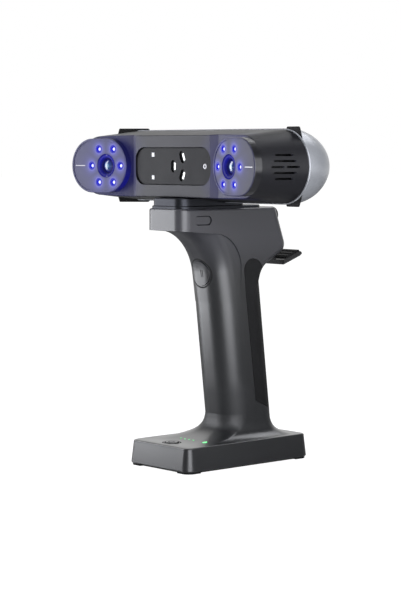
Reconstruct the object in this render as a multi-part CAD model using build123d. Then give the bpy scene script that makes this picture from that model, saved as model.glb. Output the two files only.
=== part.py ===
"""Handheld three-d scanner: a two-camera scanning head on a pistol grip that doubles as a stand.

Frame: +Z up, the scanner looks along -Y, origin at the centre of the sole's underside. Millimetres.
"""
from build123d import *
import os
from math import atan2, cos, degrees, radians, sin, sqrt, tan

# where the head sits over the base
lens_height = 212.8
lens_forward = 51.9

# shared fits
seat_gap = 0.15
running_gap = 0.3
overrun = 3.0

# camera pods
lens_baseline = 132.0
toe_in = 9.86
pod_radius = 19.6
pod_offset = 13.4
pod_wall = 1.8
pod_face = 2.0
pod_edge = 0.9
pod_inset = 0.5
pod_bezel = 1.5
lens_hole = 15.5
lens_hole_edge = 0.8
led_ring_radius = 13.76
led_hole = 3.9
led_size = 3.2
led_height = 1.5
led_count = 6
led_board_thickness = 1.2
led_board_radius = 16.4
led_board_bore = 16.0

# camera behind each pod
barrel_wall = 1.1
barrel_setback = 1.0
barrel_length = 19.0
barrel_shoulder = 2.4
glass_depth = 3.6
glass_thickness = 3.4
glass_bulge = 1.9
camera_width = 26.0
camera_tall = 26.0

# front shell of the head
end_beyond = 11.0
end_centre = lens_baseline / 2 + end_beyond
face_depth = 7.0
face_radius = 21.6
parting_depth = 40.7
parting_radius = 25.3
valley_margin = 1.0
valley_half = lens_baseline / 2 - pod_radius - valley_margin
valley_run = 5.7
flat_half = valley_half - valley_run
valley_drop = 2.6
valley_depth = face_depth + valley_drop
shell_wall = 2.2
front_wall = 3.6
front_edge = 0.8
parting_edge = 0.5
pod_opening_inset = 2.6

# centre panel of the head
panel_overlap = 0.7
panel_half_length = flat_half + panel_overlap
panel_half_height = 13.3
panel_corner = 9.5
panel_pocket = 2.4
panel_thickness = 1.2
panel_edge = 0.3
panel_end_ledge = 4.0
panel_side_ledge = 2.1
beam_slot_width = 5.0
beam_slot_length = 8.6
beam_slot_x = 9.5
beam_slot_z = 6.4
beam_slot_tilt = 21.0
flash_size = 3.4
flash_x = 22.3
flash_z = 8.0
texture_hole = 4.6
texture_x = 33.2
window_thickness = 1.6

# side vents of the head
vent_height = 1.4
vent_pitch = 3.95
vent_centre = 21.0
vent_reaches = [11.9, 9.5, 7.6]
vent_bridge = 1.9

# rear shell of the head
rear_step = 0.6
rear_radius = parting_radius + rear_step
parting_gap = 0.3
rear_start = parting_depth + parting_gap
rear_rim = 4.0
rear_turn = rear_start + rear_rim
rear_arc = 35.0
rear_length = 29.4
rear_depth = rear_turn + rear_length

# corner bumpers
bumper_length = 21.7
bumper_width = 8.8
bumper_proud = 1.3
bumper_root = 11.0
bumper_slope = 13.0
bumper_turn = 45.0
bumper_edge = 0.9
bumper_beyond = 7.9
bumper_behind = 1.9

# works inside the head
chassis_setback = 0.7
chassis_depth = parting_depth - chassis_setback
chassis_thickness = 3.0
board_standoff = 2.2
board_standoff_size = 5.0
board_margin = 12.0
board_tall = 30.0
board_thickness = 1.6
sink_length = 62.0
sink_tall = 26.0
sink_base = 2.4
sink_fin = 9.0
sink_fin_thickness = 1.3
sink_fins = 9
projector_length = 60.0
projector_tall = 24.0

# keys, port and screws on the back of the head
scan_key_size = 10.0
small_key_size = 6.4
key_spread = 14.0
key_proud = 0.9
key_flange = 1.0
key_flange_thickness = 1.0
key_board_length = 48.0
key_board_tall = 14.0
key_post = 3.0
port_width = 9.2
port_tall = 3.5
port_length = 7.4
port_wall = 0.45
head_port_x = 32.0
head_screw_head = 4.6
head_screw_shank = 2.6
head_screw_head_depth = 1.4
head_screw_length = 25.0
head_screw_boss = 7.0
head_screw_outer = 1.0
head_screw_inner = 25.0

# quick release between head and handle
shoe_step = 1.0
shoe_front = 0.7
shoe_length = 62.0
shoe_thickness = 5.4
shoe_stand = 2.3
shoe_edge = 0.6
shoe_corner = 8.0
shoe_pad_half = 12.0
shoe_pad_front = 12.0
shoe_pad_length = 40.0
shoe_hook_length = 8.0
shoe_hook_thickness = 3.0
shoe_hook_lip = 1.8
shoe_hook_lip_height = 2.2
shoe_screw = 6.35
shoe_screw_head = 11.0
shoe_screw_head_depth = 2.2
shoe_screw_length = 11.0
shoe_screw_depth = 31.0
shoe_boss = 12.0
shoe_boss_height = 7.0
seat_step = 1.5
seat_edge = 0.5
seat_front = 0.0
seat_length = 78.0
seat_thickness = 2.0

# crown of the handle
crown_half = 20.0
crown_ahead = 1.4
crown_front = -lens_forward - crown_ahead
crown_top = lens_height - parting_radius - shoe_stand - seat_thickness
crown_lip = 15.2
crown_front_corner = 8.0
crown_rear_corner = 7.5
crown_edge = 1.6
crown_rear_top = 39.9
crown_bulge_y = 50.9
crown_bulge_drop = 30.7
crown_bulge_radius = 8.2
crown_tuck_y = 26.5
crown_tuck_drop = 43.8
crown_tuck_radius = 14.0
crown_heel_y = 20.0
crown_heel_drop = 65.2
crease_y = 3.4
crease_drop = 40.2
crease_turn_y = -5.4
crease_turn_drop = 24.0
crease_start_y = -24.0
crease_start_drop = 17.6

# neck under the crown
neck_turn_y = -28.9
neck_turn_drop = 25.6
neck_foot_y = -18.4
neck_foot_drop = 45.2
neck_end_y = -15.2
neck_end_drop = 67.2
neck_back = 10.0
neck_round = 14.8

# grip
grip_half_width = 18.7
grip_half_depth = 22.9
grip_corner = 15.0
grip_centre_y = 14.6
grip_centre_z = 58.0
grip_lean = 6.62
grip_low = 12.0
grip_top_drop = 43.2
grip_wall = 2.9
grip_bore_low = 13.0
grip_bore_drop = 71.2

# rubber pad on the back of the grip
pad_thickness = 1.5
pad_groove = 0.3
pad_behind = 1.9
pad_low = 44.0
pad_top_drop = 36.4
pad_slant = 24.0
pad_fall = 50.0
pad_arch = 8.8

# base
base_width = 66.1
base_length = 118.0
base_edge_height = 16.8
base_corner = 6.8
base_bottom = 1.4
base_edge = 1.2
base_foot_edge = 0.8
base_draft = 1.8
base_wall = 4.0
base_roof = 3.2
flare_top = 35.0
flare_spread = [0.36, 0.61, 0.79, 0.91, 0.975]
flare_rise = [0.07, 0.16, 0.28, 0.45, 0.68]
foot_inset = 1.2
foot_size = 13.0
base_plate_thickness = 2.4
sole_thickness = 2.2
base_screw_x = 21.0
base_screw_y = 46.0
base_screw_head = 5.4
base_screw_head_depth = 1.2
base_screw_shank = 3.0
base_screw_length = 9.0
base_boss = 8.0
control_board_width = 30.0
control_board_length = 92.0
control_board_y = -6.0
control_post = 5.0
control_post_height = 4.0

# controls and lights on the base
power_size = 10.4
power_y = -45.5
power_proud = 0.5
power_travel = 0.8
power_flange = 1.2
power_flange_thickness = 1.0
power_switch_size = 6.0
light_size = 1.3
light_pitch = 4.5
light_count = 4
light_y = -31.0
light_proud = 0.15
status_x = 19.0
status_length = 3.8
status_width = 2.4
base_port_z = 9.4

# batteries in the grip
cell_size = 18.2
cell_length = 65.0
cell_gap = 1.2
cradle_floor = 2.0

# scan button on the neck
scan_size = 17.6
scan_drop = 46.6
scan_proud = 0.7
scan_travel = 1.2
scan_flange = 1.4
scan_flange_thickness = 1.2
scan_lip = 3.5
scan_pocket = 15.0
trigger_board_thickness = 1.6
switch_size = 6.2
switch_height = 3.4
plunger_size = 3.4

# release button on the side of the crown
release_length = 15.0
release_tall = 6.0
release_behind = 20.1
release_drop = 8.25
release_recess = 0.8
release_edge = 0.5
release_depth = 6.0
release_travel = 1.9
latch_pocket_half = 11.0
latch_pocket_length = 18.0
latch_pocket_depth = 13.0
latch_thickness = 2.4
latch_width = 14.0
latch_tail = 7.0

# fold-out phone clamp on the back of the crown
hinge_inset = 3.2
hinge_drop = 6.2
hinge_radius = 6.4
hinge_half = 13.0
hinge_pin = 3.0
hinge_pin_half = 15.4
hinge_gap = 0.4
pin_gap = 0.05
arm_half = 9.0
arm_thickness = 4.6
arm_length = 30.4
arm_wall = 1.4
slider_start = 9.0
jaw_start = 33.6
jaw_thickness = 3.7
jaw_reach = 16.0
jaw_half = 16.5
jaw_edge = 1.2
jaw_pad = 1.0
jaw_pad_margin = 0.8
jaw_ribs = 3
jaw_rib_height = 0.5

# heights and places that follow from the sizes above
shell_slope = (parting_radius - face_radius) / (parting_depth - face_depth)
head_screw_xs = [
    side * (end_centre + shift) for side in (-1, 1) for shift in (head_screw_outer, -head_screw_inner)]
board_length = 2 * (end_centre - head_screw_inner + board_margin)
seat_half = crown_half - seat_step
shoe_half = seat_half - shoe_step
crown_bulge_z = crown_top - crown_bulge_drop
crown_tuck_z = crown_top - crown_tuck_drop
crown_heel_z = crown_top - crown_heel_drop
crease_z = crown_top - crease_drop
crease_turn_z = crown_top - crease_turn_drop
crease_start_z = crown_top - crease_start_drop
neck_half = grip_half_width
neck_turn_z = crown_top - neck_turn_drop
neck_foot_z = crown_top - neck_foot_drop
neck_end_z = crown_top - neck_end_drop
grip_high = crown_top - grip_top_drop
grip_bore_high = crown_top - grip_bore_drop
pad_high = crown_top - pad_top_drop
scan_z = crown_top - scan_drop
release_y = crown_front + release_behind
release_z = crown_top - release_drop
arm_tilt = degrees(atan2(crown_bulge_y - crown_rear_top, crown_bulge_drop))
hinge_y = crown_rear_top + hinge_drop * tan(radians(arm_tilt)) - hinge_inset
hinge_z = crown_top - hinge_drop
cell_spread = cell_size + cell_gap

os.makedirs("parts", exist_ok=True)
nodes = {}
head_at = Pos(0, -lens_forward, lens_height)
upright = (Align.CENTER, Align.CENTER, Align.MIN)


# general helpers

def side_face(points):
    """Closed face in the YZ plane from corner points given as (y, z)."""
    return Plane.YZ * make_face(Polyline(*points, close=True))


def front_plane(depth):
    """Plane at a depth behind the lenses, with its own x along X and y along Z."""
    return Plane(origin=(0, depth, 0), x_dir=(1, 0, 0), z_dir=(0, -1, 0))


def back_plane(depth):
    """Plane on the back of the head, facing back, with its y along Z."""
    return Plane(origin=(0, depth, 0), x_dir=(-1, 0, 0), z_dir=(0, 1, 0))


def stadium_body(half_profile):
    """Solid whose front view is a stadium: a straight middle and a half turn at each end.

    half_profile is a face in the YZ plane that lies above the Y axis.
    """
    middle = extrude(half_profile, amount=end_centre, both=True)
    middle += mirror(middle, about=Plane.XY)
    turned = Part() + middle
    for side in (1, -1):
        at_end = Pos(side * end_centre, 0, 0) * half_profile
        axis = Axis((side * end_centre, 0, 0), (0, side, 0))
        turned += revolve(at_end, axis=axis, revolution_arc=180)
    return turned


def pod_plane(side):
    """Plane of a pod's face: origin on the lens axis, z out of the face, y up."""
    lean = radians(toe_in)
    return Plane(
        origin=(side * lens_baseline / 2, 0, 0),
        x_dir=(cos(lean), -side * sin(lean), 0),
        z_dir=(-side * sin(lean), -cos(lean), 0),
    )


def pod_outline(side, radius):
    """Stadium outline of a pod, in the pod's plane."""
    return Pos(side * pod_offset / 2, 0) * SlotCenterToCenter(pod_offset, 2 * radius)


def into(plane, sketch, depth, start=0):
    """Extrude a sketch from a plane inwards, starting at a depth below the plane."""
    return extrude(plane * (Pos(0, 0, -start) * sketch), amount=-depth)


def rounded_box(width, length, height, corner, edge):
    """Upright block with rounded corners and a bevelled top that stands on the XY plane."""
    block = extrude(RectangleRounded(width, length, corner), amount=height)
    return chamfer(block.faces().sort_by(Axis.Z)[-1].edges(), edge)


# head shells

def front_radius(depth):
    return face_radius + shell_slope * (depth - face_depth)


def front_body(wall):
    """Drafted body of the front shell, drawn in by a wall thickness."""
    start = -overrun * 2
    profile = side_face([
        (start, 0),
        (start, front_radius(start) - wall),
        (parting_depth, front_radius(parting_depth) - wall),
        (parting_depth, 0),
    ])
    return stadium_body(profile)


def front_cut(setback):
    """Everything ahead of the head's folded front, moved back by a setback."""
    reach = end_centre + rear_radius + overrun
    ahead = -rear_radius
    tip = valley_depth - (reach - valley_half) * tan(radians(toe_in))
    right = [
        (0, face_depth),
        (flat_half, face_depth),
        (valley_half, valley_depth),
        (reach, tip),
        (reach, ahead),
    ]
    left = [(-x, y) for x, y in reversed(right[1:])]
    outline = make_face(Polyline(*right, *left, close=True))
    return Pos(0, setback, 0) * extrude(outline, amount=rear_radius * 2, both=True)


def rear_profile(wall):
    """Half profile of the rear shell: straight rim, long arc, flat back."""
    centre_r = rear_radius - rear_arc
    drop = rear_arc - sqrt(rear_arc ** 2 - (rear_depth - rear_turn) ** 2)
    arc = rear_arc - wall
    back = rear_depth - wall
    start = rear_start if wall == 0 else rear_start - overrun
    flat = centre_r + sqrt(arc ** 2 - (back - rear_turn) ** 2)
    middle_depth = (rear_turn + back) / 2
    middle_r = centre_r + sqrt(arc ** 2 - (middle_depth - rear_turn) ** 2)
    lines = [
        Line((start, 0), (start, rear_radius - wall)),
        Line((start, rear_radius - wall), (rear_turn, rear_radius - wall)),
        ThreePointArc((rear_turn, rear_radius - wall), (middle_depth, middle_r), (back, flat)),
        Line((back, flat), (back, 0)),
        Line((back, 0), (start, 0)),
    ]
    return Plane.YZ * make_face(lines)


def wing_stand():
    """Distance of the wing's surface behind the pod's face, along the pod's axis."""
    at_lens = valley_depth - (lens_baseline / 2 - valley_half) * tan(radians(toe_in))
    return at_lens * cos(radians(toe_in))


def vent_cutter():
    """Rows of slots through both ends of the head."""
    slots = Part()
    reach = rear_radius
    rows = len(vent_reaches) - 1
    for row in range(-rows, rows + 1):
        half = vent_reaches[abs(row)]
        z = row * vent_pitch
        row_plane = Plane.YZ.offset(end_centre + reach / 2)
        bars = [(vent_centre, 2 * half)]
        if row == 0:
            part = half - vent_bridge / 2
            shift = (half + vent_bridge / 2) / 2
            bars = [(vent_centre - shift, part), (vent_centre + shift, part)]
        for centre, length in bars:
            bar = Pos(centre, z) * SlotOverall(length, vent_height)
            slots += extrude(row_plane * bar, amount=reach)
    return slots + mirror(slots, about=Plane.YZ)


def panel_outline(margin):
    width = 2 * (panel_half_length - margin)
    height = 2 * (panel_half_height - margin)
    return RectangleRounded(width, height, panel_corner - margin)


front_outer = front_body(0) - front_cut(0)
front_rim = [
    edge for edge in front_outer.edges()
    if (edge @ 0.5).Y < valley_depth + overrun and abs(edge.tangent_at(0.5).Z) < cos(radians(toe_in))
]
front_outer = fillet(front_rim, front_edge)
front_outer = chamfer(front_outer.faces().sort_by(Axis.Y)[-1].edges(), parting_edge)
front_inner = front_body(shell_wall) - front_cut(front_wall)
front_shell = front_outer - front_inner - vent_cutter()
front_shell -= into(front_plane(face_depth), panel_outline(0), panel_pocket)
panel_window = Rectangle(
    2 * (panel_half_length - panel_end_ledge), 2 * (panel_half_height - panel_side_ledge))
front_shell -= into(front_plane(face_depth), panel_window, front_wall * 2)
for side in (1, -1):
    opening = pod_outline(side, pod_radius - pod_opening_inset)
    front_shell -= into(pod_plane(side), opening, front_wall * 3)

rear_outer = stadium_body(rear_profile(0))
rear_outer = chamfer(rear_outer.faces().sort_by(Axis.Y)[0].edges(), parting_edge)
rear_shell = rear_outer - stadium_body(rear_profile(shell_wall))
key_places = [(0, scan_key_size), (-key_spread, small_key_size), (key_spread, small_key_size)]
back = back_plane(rear_depth)
for x, size in key_places:
    rear_shell -= into(back, Pos(x, 0) * Circle(size / 2 + running_gap), shell_wall * 2)
port_at = Pos(-head_port_x, 0)
rear_shell -= into(back, port_at * SlotOverall(port_width, port_tall), shell_wall * 2)
for x in head_screw_xs:
    boss_reach = rear_depth - shell_wall - (chassis_depth + chassis_thickness)
    rear_shell += into(back, Pos(x, 0) * Circle(head_screw_boss / 2), boss_reach, shell_wall)
    hole = Circle(head_screw_shank / 2 + seat_gap)
    rear_shell -= into(back, Pos(x, 0) * hole, rear_depth - chassis_depth - chassis_thickness)
    head = Circle(head_screw_head / 2 + seat_gap)
    rear_shell -= into(back, Pos(x, 0) * head, head_screw_head_depth)
for x in (-1, 1):
    post = Pos(x * (key_board_length / 2 - key_post), 0) * Circle(key_post / 2)
    rear_shell += into(back, post, key_post, shell_wall)

nodes["front_shell"] = head_at * front_shell
nodes["rear_shell"] = head_at * rear_shell

# camera pods with their lights, barrels and lenses
stand = wing_stand()
board_front = pod_face + seat_gap
for name, side in (("left", -1), ("right", 1)):
    plane = pod_plane(side)
    outer = into(plane, pod_outline(side, pod_radius), stand)
    rim = outer.faces().sort_by(Axis(plane.origin, plane.z_dir))[-1].edges()
    pod = fillet(rim, pod_edge)
    pod -= into(plane, pod_outline(side, pod_radius - pod_wall), stand, pod_face)
    pod -= into(plane, pod_outline(side, pod_radius - pod_bezel), pod_inset)
    hole = into(plane, Circle(lens_hole / 2), pod_face)
    mouth = plane * Pos(0, 0, -pod_inset - lens_hole_edge) * Cone(
        lens_hole / 2, lens_hole / 2 + lens_hole_edge, lens_hole_edge, align=upright)
    pod -= hole + mouth
    ring = PolarLocations(led_ring_radius, led_count)
    for spot in ring:
        pod -= into(plane, spot * Circle(led_hole / 2), pod_face)
    nodes[name + "_camera_pod"] = head_at * pod

    board = pod_outline(side, led_board_radius) - Circle(led_board_bore / 2)
    nodes[name + "_led_board"] = head_at * into(plane, board, led_board_thickness, board_front)
    led = Circle(led_size / 2)
    lights = [into(plane, spot * led, led_height, board_front - led_height) for spot in ring]
    nodes[name + "_leds"] = head_at * Compound(children=lights)

    barrel_radius = lens_hole / 2 - seat_gap
    bore = barrel_radius - barrel_wall
    barrel = into(plane, Circle(barrel_radius), barrel_length, barrel_setback)
    barrel -= into(plane, Circle(bore), glass_depth + glass_thickness, 0)
    barrel -= into(plane, Circle(bore - barrel_shoulder), barrel_length * 2)
    nodes[name + "_lens_barrel"] = head_at * barrel

    rim_r = bore - seat_gap / 2
    glass_radius = (rim_r ** 2 + glass_bulge ** 2) / (2 * glass_bulge)
    glass = into(plane, Circle(rim_r), glass_thickness + glass_bulge, glass_depth - glass_bulge)
    glass &= plane * Pos(0, 0, glass_bulge - glass_depth - glass_radius) * Sphere(glass_radius)
    nodes[name + "_lens"] = head_at * glass

    camera_box = Rectangle(camera_width, camera_tall)
    camera = into(plane, camera_box, rear_radius * 2, barrel_setback + barrel_length)
    keep_depth = chassis_depth / 2
    keep = Pos(0, keep_depth, 0) * Box(lens_baseline * 2, chassis_depth, rear_radius * 2)
    nodes[name + "_camera"] = head_at * (camera & keep)

# centre panel with its windows
panel_front = face_depth + panel_pocket - panel_thickness
panel_at = front_plane(panel_front)
beam_places = [
    Pos(0, 0),
    Pos(beam_slot_x, beam_slot_z) * Rot(0, 0, beam_slot_tilt),
    Pos(beam_slot_x, -beam_slot_z) * Rot(0, 0, -beam_slot_tilt),
]
flash_places = [Pos(-flash_x, flash_z), Pos(-flash_x, -flash_z)]
texture_place = Pos(texture_x, 0)
panel = into(panel_at, panel_outline(seat_gap * 2), panel_thickness)
panel = chamfer(panel.faces().sort_by(Axis.Y)[0].edges(), panel_edge)
beam_slot = Rot(0, 0, 90) * SlotOverall(beam_slot_length, beam_slot_width)
for place in beam_places:
    panel -= into(panel_at, place * beam_slot, panel_thickness)
for place in flash_places:
    panel -= into(panel_at, place * Rectangle(flash_size, flash_size), panel_thickness)
panel -= into(panel_at, texture_place * Circle(texture_hole / 2), panel_thickness)
nodes["front_panel"] = head_at * panel

beam_window = Rot(0, 0, 90) * SlotOverall(
    beam_slot_length + 2 * seat_gap, beam_slot_width + 2 * seat_gap)
windows = [into(panel_at, place * beam_window, window_thickness, panel_thickness) for place in beam_places]
nodes["beam_windows"] = head_at * Compound(children=windows)
flash = Rectangle(flash_size - 2 * seat_gap, flash_size - 2 * seat_gap)
flash_tall = panel_thickness + window_thickness - seat_gap
flashes = [into(panel_at, place * flash, flash_tall, seat_gap) for place in flash_places]
nodes["flash_leds"] = head_at * Compound(children=flashes)
texture = into(panel_at, texture_place * Circle(texture_hole / 2 - seat_gap), flash_tall, seat_gap)
nodes["texture_camera"] = head_at * texture
projector_front = panel_front + panel_thickness + window_thickness
projector = into(front_plane(projector_front), Rectangle(projector_length, projector_tall),
                 chassis_depth - projector_front)
nodes["projector"] = head_at * projector

# chassis, main board and heat sink
chassis_radius = front_radius(chassis_depth) - shell_wall - seat_gap
chassis_plane = front_plane(chassis_depth)
chassis_outline = SlotCenterToCenter(2 * end_centre, 2 * chassis_radius)
chassis = into(chassis_plane, chassis_outline, chassis_thickness)
board_depth = chassis_depth + chassis_thickness + board_standoff
stud = Rectangle(board_standoff_size, board_standoff_size)
stud_x = board_length / 2 - board_standoff_size
stud_z = board_tall / 2 - board_standoff_size
for x in (-stud_x, stud_x):
    for z in (-stud_z, stud_z):
        chassis += into(chassis_plane, Pos(x, z) * stud, board_standoff, chassis_thickness)
for x in head_screw_xs:
    chassis -= into(chassis_plane, Pos(x, 0) * Circle(head_screw_shank / 2), chassis_thickness * 2)
main_board = into(front_plane(board_depth), Rectangle(board_length, board_tall), board_thickness)
for x in head_screw_xs:
    gap = Circle(head_screw_boss / 2 + running_gap)
    main_board -= into(front_plane(board_depth), Pos(x, 0) * gap, board_thickness)
sink_plane = front_plane(board_depth + board_thickness)
sink = into(sink_plane, Rectangle(sink_length, sink_tall), sink_base)
fin_step = (sink_tall - sink_fin_thickness) / (sink_fins - 1)
for fin in range(sink_fins):
    blade = Pos(0, fin_step * (fin - (sink_fins - 1) / 2)) * Rectangle(sink_length, sink_fin_thickness)
    sink += into(sink_plane, blade, sink_fin, sink_base)
nodes["chassis"] = head_at * chassis
nodes["main_board"] = head_at * main_board
nodes["heat_sink"] = head_at * sink

# keys, key board, port and screws on the back
for name, (x, size) in zip(("rear_scan_key", "rear_plus_key", "rear_minus_key"), key_places):
    cap_depth = shell_wall + running_gap + key_flange_thickness
    cap = into(back, Pos(x, 0) * Circle(size / 2), cap_depth + key_proud, -key_proud)
    rim = cap.faces().sort_by(Axis.Y)[-1].edges()
    cap = fillet(rim, key_proud / 2)
    flange = Pos(x, 0) * Circle(size / 2 + key_flange)
    cap += into(back, flange, key_flange_thickness, shell_wall + running_gap)
    nodes[name] = head_at * cap
key_board = into(back, Rectangle(key_board_length, key_board_tall), board_thickness, shell_wall + key_post)
nodes["key_board"] = head_at * key_board


def port(plane, place):
    """Oval metal socket with its tongue, flush with a plane."""
    outer = place * SlotOverall(port_width - 2 * seat_gap, port_tall - 2 * seat_gap)
    inner_wide = port_width - 2 * seat_gap - 2 * port_wall
    inner_tall = port_tall - 2 * seat_gap - 2 * port_wall
    shell = into(plane, outer, port_length)
    shell -= into(plane, place * SlotOverall(inner_wide, inner_tall), port_length - port_wall)
    tongue = place * Rectangle(inner_wide - inner_tall, inner_tall / 3)
    return shell + into(plane, tongue, port_length - port_wall * 2, port_wall)


nodes["head_port"] = head_at * port(back, port_at)
head_screws = []
for x in head_screw_xs:
    screw = into(back, Pos(x, 0) * Circle(head_screw_head / 2), head_screw_head_depth)
    screw += into(back, Pos(x, 0) * Circle(head_screw_shank / 2 - seat_gap), head_screw_length)
    head_screws.append(screw)
nodes["head_screws"] = head_at * Compound(children=head_screws)

# corner bumpers, cut to the curve of the shells they stand on
bumper_room = 4 * end_centre
parting_fill = stadium_body(side_face([
    (parting_depth - overrun, 0),
    (parting_depth - overrun, parting_radius - seat_gap),
    (rear_start + overrun, parting_radius),
    (rear_start + overrun, 0),
]))
for name, x_side, z_side in (
    ("top_left", -1, 1), ("top_right", 1, 1), ("bottom_left", -1, -1), ("bottom_right", 1, -1),
):
    top = Rectangle(bumper_length, bumper_width)
    block = extrude(top, amount=-(bumper_proud + bumper_root), taper=-bumper_slope)
    foot = block.faces().sort_by(Axis.Z)[0].edges()
    block = fillet([edge for edge in block.edges() if edge not in foot], bumper_edge)
    bumper_x = x_side * (end_centre + bumper_beyond)
    bumper_at = Pos(bumper_x, parting_depth + bumper_behind, rear_radius + bumper_proud)
    block = bumper_at * Rot(0, 0, -x_side * bumper_turn) * block
    if z_side < 0:
        block = mirror(block, about=Plane.XY)
    block = block - front_body(0) - rear_outer - parting_fill
    if x_side > 0:
        block &= Pos(0, rear_start + parting_edge, 0) * Box(
            bumper_room, bumper_room, bumper_room, align=(Align.CENTER, Align.MIN, Align.CENTER))
    nodes["bumper_" + name] = head_at * block.solids().sort_by(SortBy.VOLUME)[-1]

# handle: crown, neck, grip and base in one moulding

def grip_at(height):
    """Centre of the grip at a height, on its leaning axis."""
    return grip_centre_y - (height - grip_centre_z) * tan(radians(grip_lean))


def grip_section(height, grow):
    """Outline of the grip at a height, grown outwards or, below zero, drawn in."""
    outline = RectangleRounded(
        2 * (grip_half_width + grow), 2 * (grip_half_depth + grow), grip_corner + grow)
    return Pos(0, grip_at(height), height) * outline


def grip_column(grow, low, high):
    """Leaning column with the grip's outline."""
    return loft([grip_section(low, grow), grip_section(high, grow)])


def flare():
    """Concave top of the base, which runs from the rim up into the grip."""
    rim_width = base_width - 2 * base_draft
    rim_length = base_length - 2 * base_draft
    rim_corner = base_corner - base_draft
    high = grip_at(flare_top)
    sections = [Pos(0, 0, base_edge_height) * base_outline(base_draft)]
    for spread, rise in zip(flare_spread, flare_rise):
        outline = RectangleRounded(
            rim_width + spread * (2 * grip_half_width - rim_width),
            rim_length + spread * (2 * grip_half_depth - rim_length),
            rim_corner + spread * (grip_corner - rim_corner))
        height = base_edge_height + rise * (flare_top - base_edge_height)
        sections.append(Pos(0, spread * high, height) * outline)
    sections.append(grip_section(flare_top, 0))
    return loft(sections)


def base_outline(draw_in):
    """Outline of the base, drawn in by a wall."""
    return RectangleRounded(
        base_width - 2 * draw_in, base_length - 2 * draw_in, base_corner - draw_in)


crown_bottom = crown_top - crown_lip
neck_top = crown_top - crown_lip / 2
crown_lines = [
    Line((crown_front, crown_bottom), (crown_front, crown_top)),
    Line((crown_front, crown_top), (crown_rear_top, crown_top)),
    FilletPolyline(
        (crown_rear_top, crown_top), (crown_bulge_y, crown_bulge_z), (crown_tuck_y, crown_tuck_z),
        (crown_heel_y, crown_heel_z), radius=(crown_bulge_radius, crown_tuck_radius)),
    Line((crown_heel_y, crown_heel_z), (crease_y, crown_heel_z)),
    Line((crease_y, crown_heel_z), (crease_y, crease_z)),
    ThreePointArc((crease_y, crease_z), (crease_turn_y, crease_turn_z), (crease_start_y, crease_start_z)),
    Line((crease_start_y, crease_start_z), (crown_front, crown_bottom)),
]
crown_edges = [edge for line in crown_lines for edge in line.edges()]


def crown_blank(draw_in):
    """Crown with its rounded back and tapered sides, drawn in all round by a skin's thickness."""
    face = make_face(crown_edges)
    if draw_in:
        face = offset(face, -draw_in)
    blank = extrude(Plane.YZ * face, amount=crown_half - draw_in, both=True)
    back_edges = []
    for edge in blank.edges():
        middle = edge @ 0.5
        behind = middle.Y > crown_heel_y and crown_heel_z < middle.Z < crown_top
        if behind and abs(middle.X) > crown_half / 2:
            back_edges.append(edge)
    blank = fillet(back_edges, crown_rear_corner - draw_in)
    wide = crown_half - draw_in
    narrow = grip_half_width - draw_in
    wedge = make_face(Polyline(
        (wide, crown_top), (wide, crease_start_z), (narrow, crown_heel_z),
        (-narrow, crown_heel_z), (-wide, crease_start_z), (-wide, crown_top), close=True))
    return blank & extrude(Plane.XZ * wedge, amount=base_length, both=True)


crown = crown_blank(0)
corner_edges = crown.edges().filter_by(Axis.Z).group_by(Axis.Y)[0]
crown = fillet(corner_edges, crown_front_corner)
crown = fillet(crown.faces().sort_by(Axis.Z)[-1].edges(), crown_edge)

neck_lines = [
    Line((crown_front, crown_bottom), (crown_front, neck_top)),
    Line((crown_front, neck_top), (neck_back, neck_top)),
    Line((neck_back, neck_top), (neck_back, neck_end_z)),
    Line((neck_back, neck_end_z), (neck_end_y, neck_end_z)),
    Line((neck_end_y, neck_end_z), (neck_foot_y, neck_foot_z)),
    ThreePointArc((neck_foot_y, neck_foot_z), (neck_turn_y, neck_turn_z), (crown_front, crown_bottom)),
]
neck = extrude(Plane.YZ * make_face(neck_lines), amount=neck_half, both=True)
scoop_edges = []
for edge in neck.edges():
    middle = edge @ 0.5
    if middle.Y < neck_end_y and middle.Z < crown_bottom and abs(middle.X) > neck_half / 2:
        scoop_edges.append(edge)
neck = fillet(scoop_edges, neck_round)
neck -= Pos(0, crown_front, crown_bottom + crown_edge / 2) * Box(
    base_width, 2 * crown_front_corner + crown_edge, crown_lip, align=upright)

base = loft([
    Pos(0, 0, base_bottom) * base_outline(0), Pos(0, 0, base_edge_height) * base_outline(base_draft)])
base += flare()
base_rim = base.edges().filter_by_position(Axis.Z, base_edge_height - seat_gap, base_edge_height + seat_gap)
base = fillet(base_rim, base_edge)
base = chamfer(base.faces().sort_by(Axis.Z)[0].edges(), base_foot_edge)
moulding = base + grip_column(0, grip_low, grip_high) + neck + crown

# hollows of the handle
cavity_roof = base_edge_height - base_roof
cavity = extrude(Pos(0, 0, base_bottom) * base_outline(base_wall), amount=cavity_roof - base_bottom)
handle = moulding - cavity - grip_column(-grip_wall, grip_bore_low, grip_bore_high)
plate_low = sole_thickness
plate_high = plate_low + base_plate_thickness
screw_places = [(x, y) for x in (-base_screw_x, base_screw_x) for y in (-base_screw_y, base_screw_y)]
for x, y in screw_places:
    boss = Pos(x, y, plate_high) * Cylinder(base_boss / 2, cavity_roof - plate_high, align=upright)
    hole = Pos(x, y, plate_high) * Cylinder(base_screw_shank / 2, base_screw_length, align=upright)
    handle = handle + boss - hole

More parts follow.
